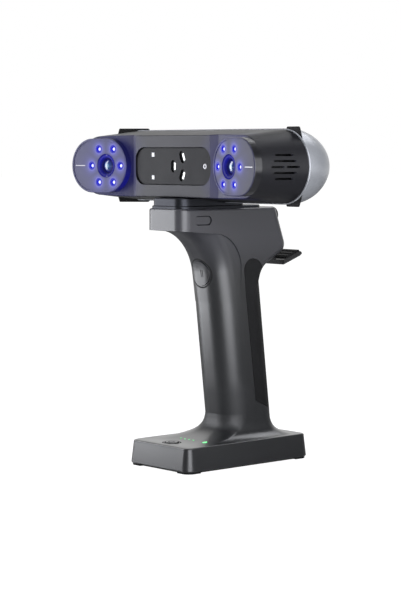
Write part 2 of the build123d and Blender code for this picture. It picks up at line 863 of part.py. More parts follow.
# rubber pad let into the back of the grip
pad_front_low = Vector(grip_at(pad_low) + pad_behind, pad_low)
pad_front_high = Vector(grip_at(pad_high) + pad_behind, pad_high - pad_arch)
pad_top = pad_front_high + Vector(pad_arch, pad_arch)
pad_crest = JernArc(pad_top, (1, 0), pad_arch, -pad_fall)
pad_reach = 2 * (grip_half_depth + pad_arch)
pad_rear_low = pad_low - pad_reach * tan(radians(pad_slant))
pad_lines = [
    Line(pad_front_low, pad_front_high),
    TangentArc(pad_front_high, pad_top, tangent=pad_front_high - pad_front_low),
    pad_crest,
    Polyline(
        pad_crest @ 1, (pad_crest @ 1) + (pad_crest % 1) * pad_reach,
        (pad_front_low.X + pad_reach, pad_rear_low), pad_front_low),
]
pad_face = make_face([edge for line in pad_lines for edge in line.edges()])
pocket_zone = extrude(Plane.YZ * pad_face, amount=base_width, both=True)
pad_zone = extrude(Plane.YZ * offset(pad_face, -pad_groove), amount=base_width, both=True)
pad_skin = crown + grip_column(0, grip_bore_low, grip_high)
pad_skin -= crown_blank(pad_thickness) + grip_column(-pad_thickness, grip_low, grip_high)
pad_pocket = (pad_skin & pocket_zone).solids().sort_by(SortBy.VOLUME)[-1]
handle -= pad_pocket
nodes["grip_pad"] = (pad_pocket & pad_zone).solids().sort_by(SortBy.VOLUME)[-1]

# closing plate, sole, screws and control board of the base
plate = extrude(Pos(0, 0, plate_low) * base_outline(base_wall + seat_gap), amount=base_plate_thickness)
sole = extrude(base_outline(base_wall + seat_gap), amount=sole_thickness)
feet = extrude(base_outline(foot_inset), amount=base_bottom)
for x in (-1, 1):
    for y in (-1, 1):
        corner = Pos(x * base_width / 2, y * base_length / 2, 0) * Box(
            2 * foot_size, 2 * foot_size, base_bottom, align=upright)
        sole += feet & corner
base_screws = []
for x, y in screw_places:
    head = Pos(x, y, plate_low) * Cylinder(base_screw_head / 2, base_screw_head_depth, align=upright)
    shank = Pos(x, y, plate_low) * Cylinder(
        base_screw_shank / 2 - seat_gap, base_plate_thickness + base_screw_length - seat_gap, align=upright)
    base_screws.append(head + shank)
    sink_hole = Cylinder(base_screw_head / 2 + seat_gap, base_screw_head_depth, align=upright)
    sink_hole += Cylinder(base_screw_shank / 2, base_plate_thickness, align=upright)
    plate -= Pos(x, y, plate_low) * sink_hole
board_low = plate_high + control_post_height
for x in (-1, 1):
    for y in (-1, 1):
        post_x = x * (control_board_width / 2 - control_post)
        post_y = control_board_y + y * (control_board_length / 2 - control_post)
        post = Cylinder(control_post / 2, control_post_height, align=upright)
        plate += Pos(post_x, post_y, plate_high) * post
control_board = Pos(0, control_board_y, board_low) * Box(
    control_board_width, control_board_length, board_thickness, align=upright)
board_high = board_low + board_thickness
nodes["base_plate"] = plate
nodes["base_sole"] = sole
nodes["base_screws"] = Compound(children=base_screws)
nodes["control_board"] = control_board

# power button, its switch and the lights on the base
power_at = Pos(0, power_y, 0)
flange_low = cavity_roof - running_gap - power_flange_thickness
power_column = power_at * Pos(0, 0, flange_low) * Cylinder(power_size / 2, base_length, align=upright)
power_button = power_column & (Pos(0, 0, power_proud) * base)
power_button += power_at * Pos(0, 0, flange_low) * Cylinder(
    power_size / 2 + power_flange, power_flange_thickness, align=upright)
power_bore = Cylinder(power_size / 2 + running_gap, base_length, align=upright)
handle -= (power_at * Pos(0, 0, cavity_roof) * power_bore) & (Pos(0, 0, overrun) * base)
switch_tall = flange_low - power_travel - running_gap - board_high
power_switch = power_at * Pos(0, 0, board_high) * Box(
    power_switch_size, power_switch_size, switch_tall, align=upright)
nodes["power_button"] = power_button
nodes["power_switch"] = power_switch
lit_base = Pos(0, 0, light_proud) * base
lights = []
for index in range(light_count):
    x = light_pitch * (index - (light_count - 1) / 2)
    spot = Pos(x, light_y, board_high)
    lights.append((spot * Cylinder(light_size / 2, base_length, align=upright)) & lit_base)
    handle -= spot * Cylinder(light_size / 2 + seat_gap, base_edge_height, align=upright)
nodes["battery_lights"] = Compound(children=lights)
status_spot = Pos(status_x, light_y, board_high)
status_bar = Rot(0, 0, 90) * SlotOverall(status_length, status_width)
status_hole = Rot(0, 0, 90) * SlotOverall(status_length + 2 * seat_gap, status_width + 2 * seat_gap)
nodes["status_light"] = extrude(status_spot * status_bar, amount=base_length) & lit_base
handle -= extrude(status_spot * status_hole, amount=base_edge_height)

# charging port in the back of the base
port_inset = base_draft * (base_port_z - base_bottom) / (base_edge_height - base_bottom)
port_back = Plane(origin=(0, base_length / 2 - port_inset, base_port_z), x_dir=(-1, 0, 0), z_dir=(0, 1, 0))
handle -= into(port_back, SlotOverall(port_width, port_tall), base_wall * 2)
nodes["base_port"] = port(port_back, Pos(0, 0))

# battery cells in their cradle
lean = radians(grip_lean)
cradle_low = grip_bore_high - cradle_floor - cell_length * cos(lean) - cell_size * sin(lean)
cradle = grip_column(-grip_wall - seat_gap, cradle_low, grip_bore_high)
cells = []
for side in (-1, 1):
    foot = cradle_low + cradle_floor + cell_size / 2 * sin(lean)
    middle = grip_at(foot) + side * cell_spread / 2
    axis = Plane(origin=(0, middle, foot), x_dir=(1, 0, 0), z_dir=(0, -sin(lean), cos(lean)))
    cells.append(extrude(axis * Circle(cell_size / 2), amount=cell_length))
    cradle -= extrude(axis * Circle(cell_size / 2 + seat_gap), amount=cell_length * 2)
nodes["battery_cradle"] = cradle
nodes["battery_cells"] = Compound(children=cells)

# scan button on the front of the neck, with its switch behind
foot_slope = (neck_end_y - neck_foot_y) / (neck_foot_z - neck_end_z)
neck_front = neck_foot_y + (neck_foot_z - scan_z) * foot_slope
scan_plane = Plane(origin=(0, neck_front, scan_z), x_dir=(1, 0, 0), z_dir=(0, -1, 0))
wide = scan_size + 2 * scan_flange
scan_button = into(scan_plane, Circle(scan_size / 2), scan_lip * 2, -scan_lip)
scan_button &= Pos(0, -scan_proud, 0) * neck
scan_button += into(scan_plane, Circle(wide / 2), scan_flange_thickness, scan_lip + running_gap)
scan_button += into(scan_plane, Circle(scan_size / 2), running_gap, scan_lip)
handle -= into(scan_plane, Circle(scan_size / 2 + running_gap), scan_pocket + scan_lip, -scan_lip)
handle -= into(scan_plane, Circle(wide / 2 + running_gap), scan_pocket - scan_lip, scan_lip)
nodes["scan_button"] = scan_button
trigger_front = scan_pocket - trigger_board_thickness
trigger_board = into(scan_plane, Circle(wide / 2), trigger_board_thickness, trigger_front)
switch_front = trigger_front - switch_height
trigger_switch = into(scan_plane, Rectangle(switch_size, switch_size), switch_height, switch_front)
plunger_front = scan_lip + running_gap * 2 + scan_flange_thickness + scan_travel
trigger_switch += into(scan_plane, Circle(plunger_size / 2), switch_front - plunger_front, plunger_front)
nodes["trigger_board"] = trigger_board
nodes["trigger_switch"] = trigger_switch

# seat plate on the crown and the head's shoe that locks on it
seat_high = crown_top + seat_thickness
seat_middle = seat_front - lens_forward + seat_length / 2
seat = rounded_box(2 * seat_half, seat_length, seat_thickness, shoe_corner, seat_edge)
seat = Pos(0, seat_middle, crown_top) * seat
slot_wide = shoe_hook_thickness + 2 * shoe_hook_lip + 2 * running_gap
slot_long = shoe_hook_length + 2 * running_gap
seat -= Pos(0, release_y, crown_top) * Box(slot_wide, slot_long, seat_thickness, align=upright)
nodes["seat_plate"] = seat
shoe_middle = shoe_front - lens_forward + shoe_length / 2
shoe = rounded_box(2 * shoe_half, shoe_length, shoe_thickness, shoe_corner, shoe_edge)
shoe = Pos(0, shoe_middle, seat_high) * shoe
pad_middle = shoe_pad_front - lens_forward + shoe_pad_length / 2
shoe += Pos(0, pad_middle, seat_high) * Box(
    2 * shoe_pad_half, shoe_pad_length, lens_height - seat_high - face_radius / 2, align=upright)
shoe -= head_at * (front_body(0) + rear_outer + parting_fill)
shoe = shoe.solids().sort_by(SortBy.VOLUME)[-1]
latch_low = release_z - latch_thickness / 2
hook_low = latch_low - running_gap - shoe_hook_lip_height
hook_at = Pos(0, release_y, hook_low)
shoe += hook_at * Box(shoe_hook_thickness, shoe_hook_length, seat_high - hook_low, align=upright)
lip_wide = shoe_hook_thickness / 2 + shoe_hook_lip
lip = Box(lip_wide, shoe_hook_length, shoe_hook_lip_height, align=upright)
shoe += hook_at * Pos(-lip_wide / 2, 0, 0) * lip
screw_y = shoe_screw_depth - lens_forward
shoe_screw_at = Pos(0, screw_y, seat_high)
shoe -= shoe_screw_at * Cylinder(shoe_screw_head / 2 + seat_gap, shoe_screw_head_depth, align=upright)
shoe -= shoe_screw_at * Cylinder(shoe_screw / 2 + seat_gap, shoe_screw_length, align=upright)
fixing = shoe_screw_at * Cylinder(shoe_screw_head / 2, shoe_screw_head_depth, align=upright)
fixing += shoe_screw_at * Cylinder(shoe_screw / 2, shoe_screw_length, align=upright)
nodes["shoe"] = shoe
nodes["shoe_screw"] = fixing
boss_low = lens_height - front_radius(shoe_screw_depth) + shell_wall / 2
boss = Pos(0, screw_y, boss_low) * Cylinder(shoe_boss / 2, shoe_boss_height, align=upright)
bored = Cylinder(shoe_screw / 2 + seat_gap, shoe_screw_length + seat_gap, align=upright)
nodes["front_shell"] = nodes["front_shell"] + boss - shoe_screw_at * bored

# release button and its latch plate inside the crown
release_plane = Plane(origin=(crown_half, release_y, release_z), x_dir=(0, 1, 0), z_dir=(1, 0, 0))
pocket_floor = crown_top - latch_pocket_depth
handle -= Pos(0, release_y, pocket_floor) * Box(
    2 * latch_pocket_half, latch_pocket_length, latch_pocket_depth * 2, align=upright)
bore = SlotOverall(release_length + 2 * running_gap, release_tall + 2 * running_gap)
handle -= into(release_plane, bore, crown_half - latch_pocket_half + overrun, 0)
pill = SlotOverall(release_length, release_tall)
release_button = into(release_plane, pill, release_depth, release_recess)
nodes["release_button"] = fillet(release_button.faces().sort_by(Axis.X)[-1].edges(), release_edge)
latch_start = crown_half - release_recess - release_depth
latch = Pos((latch_start - latch_tail) / 2, release_y, latch_low) * Box(
    latch_start + latch_tail, latch_width, latch_thickness, align=upright)
window_low = -shoe_hook_thickness / 2 - running_gap
window_high = shoe_hook_thickness / 2 + release_travel + running_gap
latch -= Pos((window_low + window_high) / 2, release_y, latch_low) * Box(
    window_high - window_low, slot_long, latch_thickness, align=upright)
nodes["release_latch"] = latch

# fold-out phone clamp: hinged arm, sliding jaw and the jaw's rubber
clamp_at = Pos(0, hinge_y, hinge_z) * Rot(arm_tilt, 0, 0)
barrel = Rot(0, 90, 0) * Cylinder(hinge_radius, 2 * hinge_half)
pin_bore = Rot(0, 90, 0) * Cylinder(hinge_pin / 2 + pin_gap, 2 * crown_half)
hang = (Align.CENTER, Align.MAX, Align.MAX)
arm = barrel + Box(2 * arm_half, arm_thickness, arm_length, align=hang)
slot_half = arm_half - arm_wall
slot_deep = arm_thickness - 2 * arm_wall
slot_from = Pos(0, -arm_wall, -slider_start + running_gap)
arm -= slot_from * Box(2 * slot_half, slot_deep, arm_length, align=hang)
arm -= pin_bore
nodes["phone_arm"] = clamp_at * arm
nodes["hinge_pin"] = clamp_at * (Rot(0, 90, 0) * Cylinder(hinge_pin / 2, 2 * hinge_pin_half))
room = Rot(0, 90, 0) * Cylinder(hinge_radius + hinge_gap, 2 * hinge_half + 2 * hinge_gap)
room += Pos(0, overrun * 4, 0) * Box(
    2 * arm_half + 2 * hinge_gap, arm_thickness + hinge_gap + overrun * 4, arm_length * 2, align=hang)
handle -= clamp_at * room
handle -= clamp_at * (Rot(0, 90, 0) * Cylinder(hinge_pin / 2, 2 * hinge_pin_half))
slider_deep = slot_deep - 2 * running_gap
slider = Pos(0, -arm_wall - running_gap, -slider_start) * Box(
    2 * slot_half - 2 * running_gap, slider_deep, jaw_start + jaw_thickness - slider_start, align=hang)
jaw_root = -arm_wall - running_gap - slider_deep
jaw = Pos(0, jaw_root, -jaw_start) * Box(
    2 * jaw_half, jaw_reach - jaw_root, jaw_thickness, align=(Align.CENTER, Align.MIN, Align.MAX))
jaw = chamfer(jaw.edges().filter_by(Axis.X).group_by(Axis.Y)[-1], jaw_edge)
jaw = chamfer(jaw.edges().filter_by(Axis.Y).group_by(Axis.Z)[0], jaw_edge)
nodes["phone_jaw"] = clamp_at * (slider + jaw)
pad_long = jaw_reach - jaw_edge - jaw_pad_margin
jaw_rubber = Pos(0, jaw_pad_margin, -jaw_start) * Box(
    2 * (jaw_half - jaw_pad_margin), pad_long, jaw_pad, align=(Align.CENTER, Align.MIN, Align.MIN))
rib_step = pad_long / jaw_ribs
for rib in range(jaw_ribs):
    y = jaw_pad_margin + rib_step * (rib + 1 / 2)
    jaw_rubber += Pos(0, y, jaw_pad - jaw_start) * Box(
        2 * (jaw_half - jaw_pad_margin), rib_step / 2, jaw_rib_height, align=upright)
nodes["jaw_pad"] = clamp_at * jaw_rubber

nodes["handle_shell"] = handle
for name, shape in nodes.items():
    export_step(shape, os.path.join("parts", name + ".step"))
print(len(nodes), "nodes")
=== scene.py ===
from math import asin, cos, pi, radians, sin

import bmesh
import bpy
from bpy.props import FloatProperty, FloatVectorProperty, IntProperty, PointerProperty
from mathutils import Matrix, Vector
from mathutils.bvhtree import BVHTree


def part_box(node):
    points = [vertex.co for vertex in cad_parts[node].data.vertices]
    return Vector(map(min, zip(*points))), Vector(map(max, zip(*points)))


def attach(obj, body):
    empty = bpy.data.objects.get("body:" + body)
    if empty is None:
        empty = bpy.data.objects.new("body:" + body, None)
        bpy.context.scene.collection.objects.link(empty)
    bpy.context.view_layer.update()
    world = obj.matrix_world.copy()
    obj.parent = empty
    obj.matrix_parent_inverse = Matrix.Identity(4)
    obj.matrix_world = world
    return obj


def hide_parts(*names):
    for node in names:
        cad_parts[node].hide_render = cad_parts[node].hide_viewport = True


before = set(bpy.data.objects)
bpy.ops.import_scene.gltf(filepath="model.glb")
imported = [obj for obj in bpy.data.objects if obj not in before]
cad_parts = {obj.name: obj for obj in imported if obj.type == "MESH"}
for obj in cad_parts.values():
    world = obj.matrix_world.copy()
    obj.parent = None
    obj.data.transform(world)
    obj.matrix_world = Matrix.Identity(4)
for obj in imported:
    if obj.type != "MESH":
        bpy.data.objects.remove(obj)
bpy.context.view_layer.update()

bl_info = {
    "name": "Handheld three-d scanner",
    "version": (1, 0, 0),
    "blender": (4, 5, 0),
    "location": "View3D > Sidebar > Scanner",
    "description": "Finishes a two-camera scanner on its pistol grip and sets up the studio",
    "category": "Object",
}

SIDES = (("left", -1), ("right", 1))
FULL_TURN = 2 * pi


# sizes and colours that a user would change

def length(words, default):
    return FloatProperty(description=words, default=default, unit="LENGTH", precision=5)


def angle(words, default):
    return FloatProperty(description=words, default=radians(default), subtype="ANGLE")


def share(words, default):
    return FloatProperty(description=words, default=default, min=0.0, max=1.0)


def colour(words, red, green, blue):
    """Colour property given in the 0 to 255 numbers of a colour picker."""
    return FloatVectorProperty(
        description=words, subtype="COLOR", size=3, min=0.0, max=1.0,
        default=[linear(red), linear(green), linear(blue)])


def linear(level):
    level = level / 255
    return level / 12.92 if level <= 0.04045 else ((level + 0.055) / 1.055) ** 2.4


class ScannerSizes(bpy.types.PropertyGroup):
    """Sizes of the pieces that are modelled here."""
    lens_baseline: length("Distance between the two lenses", 0.132)
    lens_height: length("Height of the lenses above the table", 0.2128)
    lens_forward: length("How far the lenses stand ahead of the base's centre", 0.0519)
    toe_in: angle("Angle by which each pod turns towards the middle", 9.86)
    lens_hole: length("Radius of the hole in front of a lens", 0.00775)
    lens_bore: length("Radius of the bore that holds a lens", 0.00642)
    lens_radius: length("Radius of the glass that shows", 0.0052)
    lens_depth: length("Depth of the glass's crest below the pod's rim", 0.0019)
    lens_crown: length("Height of the glass's crest above its edge", 0.0020)
    led_ring: length("Radius of the ring of lights round a lens", 0.01376)
    led_hole: length("Radius of the hole over a light", 0.00195)
    led_dome: length("Radius of a light's dome", 0.0013)
    led_body: length("Radius of a light's body", 0.00150)
    led_crest: length("Depth of a light's crest below the pod's rim", 0.00110)
    led_floor: length("Depth of the board that the lights stand on", 0.00214)
    led_count: IntProperty(description="Lights round each lens", default=6)
    pod_inset: length("Depth of a pod's face below its rim", 0.0005)
    glow_ring: length("Width of the lit edge round a light's hole", 0.0013)
    tally_start: length("Distance from the lens to the light line", 0.0201)
    tally_length: length("Length of the light line", 0.0093)
    tally_width: length("Width of the light line", 0.00055)
    window_front: length("How far the windows stand ahead of the base's centre", 0.0425)
    bar_width: length("Width of the lit bar in a beam window", 0.0017)
    bar_length: length("Length of the lit bar in a beam window", 0.0050)
    mark_line: length("Line width of the marks on the buttons", 0.0007)
    mark_proud: length("How far a mark stands out of its button", 0.00005)


class ScannerColours(bpy.types.PropertyGroup):
    """Colours of the finishes."""
    front: colour("Grey of the head's front", 43, 43, 49)
    # painted shade: this darker grey stands for the shade on the head's faces that do not look forward and
    # on the pods' walls and holes
    painted_shade_grey: colour("Darker grey of the head's ends and edges", 20, 20, 23)
    panel: colour("Grey of the panel between the pods", 18, 18, 22)
    pod: colour("Smoked grey of the pods", 58, 58, 78)
    rear: colour("Silver grey of the head's back", 134, 136, 140)
    handle: colour("Dark grey of the grip and the base", 18, 19, 21)
    # painted light: the crown is the grip's own moulding, and its paler grey stands for the light it
    # catches
    crown: colour("Grey of the handle's crown", 50, 50, 54)
    black: colour("Black of the small mouldings", 15, 15, 17)
    rubber: colour("Black of the soft pieces", 14, 14, 15)
    metal: colour("Tone of the machined metal", 46, 47, 51)
    steel: colour("Tone of the plated steel", 130, 132, 136)
    glow: colour("Blue of the lights", 30, 32, 255)
    halo: colour("Paler blue close to the lights", 118, 118, 255)
    lamp_green: colour("Green of the lights on the base", 96, 222, 128)
    mark: colour("Tone of the marks on the buttons", 8, 8, 9)
    board: colour("Green of the circuit boards", 18, 82, 48)
    wrap: colour("Blue of the battery's wrap", 48, 88, 140)


class ScannerStage(bpy.types.PropertyGroup):
    """Camera and light."""
    azimuth: angle("Direction that the camera looks in, turned from straight ahead", 48.72)
    pitch: angle("How far the camera looks down", 4.5)
    lens: FloatProperty(description="Focal length on a sensor 36 mm high", default=114.12)
    camera_place: FloatVectorProperty(
        description="Where the camera stands", subtype="TRANSLATION", default=(1.0165, -0.9108, 0.2237))
    ambient: share("Strength of the even light from all round", 0.20)
    room: share("Strength of the room in front of the scanner, as gloss shows it", 0.10)
    floor_glow: share("Share of the floor's white that shadows leave", 0.86)


# node trees

BLACK = (0, 0, 0, 1)
WHITE = (1, 1, 1, 1)
# vector operations that give one number
ONE_NUMBER = ("LENGTH", "DISTANCE", "DOT_PRODUCT")


class Tree:
    """Short calls that build a node tree."""

    def __init__(self, tree):
        self.tree = tree

    def add(self, kind, **settings):
        node = self.tree.nodes.new("ShaderNode" + kind)
        for name, value in settings.items():
            setattr(node, name, value)
        return node

    def put(self, socket, value):
        if isinstance(value, bpy.types.NodeSocket):
            self.tree.links.new(value, socket)
        else:
            socket.default_value = value

    def fill(self, node, values):
        """Link or set several inputs of a node by name."""
        for name, value in values.items():
            self.put(node.inputs[name], value)

    def math(self, operation, *values, clamp=False):
        node = self.add("Math", operation=operation, use_clamp=clamp)
        for socket, value in zip(node.inputs, values):
            self.put(socket, value)
        return node.outputs[0]

    def times(self, first, *others):
        for other in others:
            first = self.math("MULTIPLY", first, other)
        return first

    def larger(self, first, *others):
        for other in others:
            first = self.math("MAXIMUM", first, other)
        return first

    def plus(self, first, second):
        return self.math("ADD", first, second)

    def minus(self, first, second):
        return self.math("SUBTRACT", first, second)

    def line(self, value, gain, offset):
        return self.math("MULTIPLY_ADD", value, gain, offset)

    def hypot(self, first, second):
        return self.math("SQRT", self.plus(self.times(first, first), self.times(second, second)))

    def vector(self, operation, *values):
        node = self.add("VectorMath", operation=operation)
        for socket, value in zip(node.inputs, values):
            self.put(socket, value)
        return node.outputs["Value" if operation in ONE_NUMBER else "Vector"]

    def scaled(self, vector, factor):
        node = self.add("VectorMath", operation="SCALE")
        self.put(node.inputs[0], vector)
        self.put(node.inputs["Scale"], factor)
        return node.outputs[0]

    def fade(self, value, low, high, bottom=0.0, top=1.0):
        """Smooth step from bottom to top as the value goes from low to high."""
        node = self.add("MapRange", interpolation_type="SMOOTHSTEP")
        self.fill(node, {
            "Value": value, "From Min": low, "From Max": high, "To Min": bottom, "To Max": top})
        return node.outputs[0]

    def mix(self, factor, first, second, blend="MIX"):
        node = self.add("Mix", data_type="RGBA", blend_type=blend)
        self.put(node.inputs[0], factor)
        self.put(node.inputs[6], first)
        self.put(node.inputs[7], second)
        return node.outputs[2]

    def noise(self, vector, scale, detail=2.0, roughness=0.5):
        node = self.add("TexNoise")
        self.fill(node, {"Vector": vector, "Scale": scale, "Detail": detail, "Roughness": roughness})
        return node.outputs[0]

    def place(self):
        """Object coordinates, which are the scanner's own frame."""
        return self.add("TexCoord").outputs["Object"]

    def turned(self, vector, matrix):
        """Coordinates in the frame that a matrix gives."""
        node = self.add("Mapping", vector_type="TEXTURE")
        self.fill(node, {
            "Vector": vector, "Location": matrix.to_translation(), "Rotation": matrix.to_euler()})
        return node.outputs[0]

    def split(self, vector):
        node = self.add("SeparateXYZ")
        self.put(node.inputs[0], vector)
        return node.outputs

    def effect(self, name, vector=None, **inputs):
        """One of the shared effects, on object coordinates unless others are given."""
        node = self.add("Group", node_tree=bpy.data.node_groups.get(name) or new_effect(name))
        self.put(node.inputs["Vector"], self.place() if vector is None else vector)
        self.fill(node, {label.capitalize(): value for label, value in inputs.items()})
        return node.outputs


class Paint(Tree):
    """Node tree of a new material."""

    def __init__(self, name):
        self.material = bpy.data.materials.new(name)
        self.material.use_nodes = True
        super().__init__(self.material.node_tree)
        self.shader = self.tree.nodes["Principled BSDF"]

    def bump(self, height, distance):
        node = self.add("Bump")
        self.fill(node, {"Strength": 1.0, "Distance": distance, "Height": height})
        self.put(self.shader.inputs["Normal"], node.outputs[0])

    def shade(self, values, glow=None, strength=1.0):
        """Set the shader's inputs, with a glow where one is given, and hand over the material."""
        self.fill(self.shader, values)
        if glow is not None:
            self.fill(self.shader, {"Emission Color": glow, "Emission Strength": strength})
        return self.material


# sockets of the effects that are vectors; the others are plain numbers
VECTORS = ("Vector", "Stretch")


def new_effect(name):
    """Node group of an effect, with named sockets round the nodes that its function makes."""
    make, inputs = EFFECTS[name]
    group = bpy.data.node_groups.new(name, "ShaderNodeTree")
    tree = Tree(group)
    for label in inputs:
        kind = "NodeSocketVector" if label in VECTORS else "NodeSocketFloat"
        group.interface.new_socket(label, in_out="INPUT", socket_type=kind)
    made = make(tree, group.nodes.new("NodeGroupInput").outputs)
    for label in made:
        group.interface.new_socket(label, in_out="OUTPUT", socket_type="NodeSocketFloat")
    tree.fill(group.nodes.new("NodeGroupOutput"), made)
    return group


def moulded_grain(tree, given):
    """Spark grain of a moulding, with a broad unevenness of tone."""
    fine = tree.noise(given["Vector"], given["Grain"], 3.0, 0.62)
    broad = tree.noise(given["Vector"], given["Patch"], 3.0)
    return {"Height": fine, "Tone": tree.fade(broad, 0.3, 0.7)}


def brushed_lines(tree, given):
    """Fine lines that run along one axis."""
    drawn = tree.vector("MULTIPLY", given["Vector"], given["Stretch"])
    lines = tree.noise(drawn, given["Lines"], 4.0, 0.65)
    return {"Height": lines, "Tone": tree.fade(lines, 0.32, 0.68)}


def handling_marks(tree, given):
    """Faint smears that hands leave: a mask of long soft patches."""
    warp = tree.noise(given["Vector"], given["Size"], 2.0)
    moved = tree.vector("ADD", given["Vector"], tree.scaled((0.02, 0.03, 0.05), warp))
    smear = tree.noise(moved, tree.times(given["Size"], 2.4), 5.0, 0.7)
    return {"Mask": tree.fade(smear, 0.42, 0.82)}


def ring_glow(tree, given):
    """Distance to the nearest lamp of a ring, in a frame whose z is the ring's axis, and to the axis."""
    x, y, _ = tree.split(given["Vector"])
    flat = tree.hypot(x, y)
    half = tree.math("DIVIDE", pi, given["Count"])
    turn = tree.math("WRAP", tree.math("ARCTAN2", y, x), half, tree.times(half, -1.0))
    along = tree.minus(tree.times(flat, tree.math("COSINE", turn)), given["Radius"])
    across = tree.times(flat, tree.math("SINE", turn))
    return {"Away": tree.hypot(along, across), "Out": flat}


# the function and the inputs of each effect
EFFECTS = {
    "moulded_grain": (moulded_grain, ("Vector", "Grain", "Patch")),
    "brushed_lines": (brushed_lines, ("Vector", "Stretch", "Lines")),
    "handling_marks": (handling_marks, ("Vector", "Size")),
    "ring_glow": (ring_glow, ("Vector", "Radius", "Count")),
}


# materials

def settings():
    scene = bpy.context.scene
    return scene.scanner_sizes, scene.scanner_colours, scene.scanner_stage


def rgba(tone, gain=1.0):
    return (tone[0] * gain, tone[1] * gain, tone[2] * gain, 1.0)


def plastic(name, tone, roughness, grain, depth, coat=0.0):
    """Moulded plastic with spark grain, uneven tone and faint handling marks."""
    tree = Paint(name)
    grainy = tree.effect("moulded_grain", grain=grain, patch=38.0)
    marks = tree.effect("handling_marks", size=14.0)
    tint = tree.mix(grainy["Tone"], rgba(tone, 0.95), rgba(tone, 1.05))
    speck = tree.times(tree.fade(grainy["Height"], 0.35, 0.65), 0.10)
    uneven = tree.line(grainy["Tone"], 0.04, roughness - 0.02)
    tree.shade({
        "Base Color": tree.mix(speck, tint, rgba(tone, 1.6)),
        "Roughness": tree.line(marks["Mask"], -0.05, uneven),
        "Coat Weight": coat,
        "Coat Roughness": 0.28,
    })
    tree.bump(grainy["Height"], depth)
    return tree, tint


# light of the rings that the folds beside the pods catch, and how far outward and ahead these face
FOLD_LIGHT = (0.052, 0.052, 0.066, 1)
FOLD_OUT = (0.22, 0.40)
FOLD_AHEAD = (0.80, 0.90)
# how far ahead a face has to look to leave the painted shade on the ends, top and bottom
PAINTED_SHADE_AHEAD = (0.35, 0.85)
# where the pods' light on the front shell ends and is full: away from a lens, from the middle, in depth
SPILL_REACH = (0.044, 0.020)
SPILL_WIDTH = (0.088, 0.074)
SPILL_DEPTH = (-0.030, -0.041)
SPILL_SHARE = 0.06


def front_finish():
    """Grey front moulding, with painted shade, a darker grey, on the faces that do not look forward, tinted
    by the light that spills from the pods.
    """
    _, tones, _ = settings()
    tree, tint = plastic("front_shell_grey", tones.front, 0.42, 5200.0, 0.000012)
    where = tree.place()
    x, y, _ = tree.split(where)
    across, back, _ = tree.split(tree.add("NewGeometry").outputs["Normal"])
    ahead = tree.times(back, -1.0)
    outward = tree.times(across, tree.math("SIGN", x))
    fold = tree.times(tree.fade(outward, *FOLD_OUT), tree.fade(ahead, *FOLD_AHEAD))
    pools = [tree.vector("DISTANCE", where, lens_centre(side)) for _, side in SIDES]
    spill = tree.math("ADD", *[tree.fade(away, *SPILL_REACH) for away in pools], clamp=True)
    inside = tree.fade(tree.math("ABSOLUTE", x), *SPILL_WIDTH)
    near = tree.times(tree.fade(y, *SPILL_DEPTH), inside, tree.fade(ahead, 0.0, 0.3))
    spilt = tree.mix(tree.times(spill, near, SPILL_SHARE), BLACK, rgba(tones.glow))
    caught = tree.mix(fold, BLACK, FOLD_LIGHT)
    # faces that do not look forward take the darker grey as painted shade
    return tree.shade({
        "Base Color": tree.mix(tree.fade(ahead, *PAINTED_SHADE_AHEAD), rgba(tones.painted_shade_grey), tint),
        "Specular IOR Level": 0.20,
    }, tree.mix(1.0, spilt, caught, "ADD"))


def lens_centre(side):
    sizes, _, _ = settings()
    return (side * sizes.lens_baseline / 2, -sizes.lens_forward, sizes.lens_height)


def pod_frame(side):
    """Frame of a pod's face: origin on the lens axis, x along the face, y up, z out of it."""
    sizes, _, _ = settings()
    lean = sizes.toe_in
    x_axis = Vector((cos(lean), -side * sin(lean), 0))
    z_axis = Vector((-side * sin(lean), -cos(lean), 0))
    columns = [x_axis, Vector((0, 0, 1)), z_axis, Vector(lens_centre(side))]
    return Matrix([[column[row] for column in columns] for row in range(3)] + [[0, 0, 0, 1]])


def ring_at(tree, side):
    """Coordinates on a pod's face and the distances to its ring of lights."""
    sizes, _, _ = settings()
    local = tree.turned(tree.place(), pod_frame(side))
    ring = tree.effect("ring_glow", vector=local, radius=sizes.led_ring, count=float(sizes.led_count))
    return tree.split(local), ring["Away"], ring["Out"]


def fall(tree, distance, start, reach):
    """Light that falls off with distance, from 1 at the start."""
    past = tree.larger(tree.minus(distance, start), 0.0)
    return tree.math("EXPONENT", tree.math("DIVIDE", past, -reach))


# how much paler the left pod is than the mean of the two, and the right one darker: painted light and shade
# on two pods of one moulding
POD_PAINTED_LIGHT_SHIFT = 0.4
# how far the bright and the broad glow of a light reach over a pod's face
HALO_REACH = 0.0012
GLOW_REACH = 0.0060
# strength of that bright and that broad glow, then on a hole's lip, in the hole, in the lens's hole
# and on the pod's inner side
HALO_LIGHT, BROAD_LIGHT, LIP_LIGHT = 0.30, 0.15, 0.36
HOLE_LIGHT, BORE_LIGHT, FLANK_LIGHT = 0.62, 0.22, 0.18
# where the glow on that side starts and is full across, and how it goes from weak to full downwards
FLANK_ACROSS = (0.002, 0.016)
FLANK_DOWN = (0.008, -0.014, 0.3, 1.0)
# how deep light reaches into a pod, and into the lamps and the cone before its lens
POD_DEPTH = (-0.010, -0.008)
LAMP_DEPTH = (-0.008, -0.006)


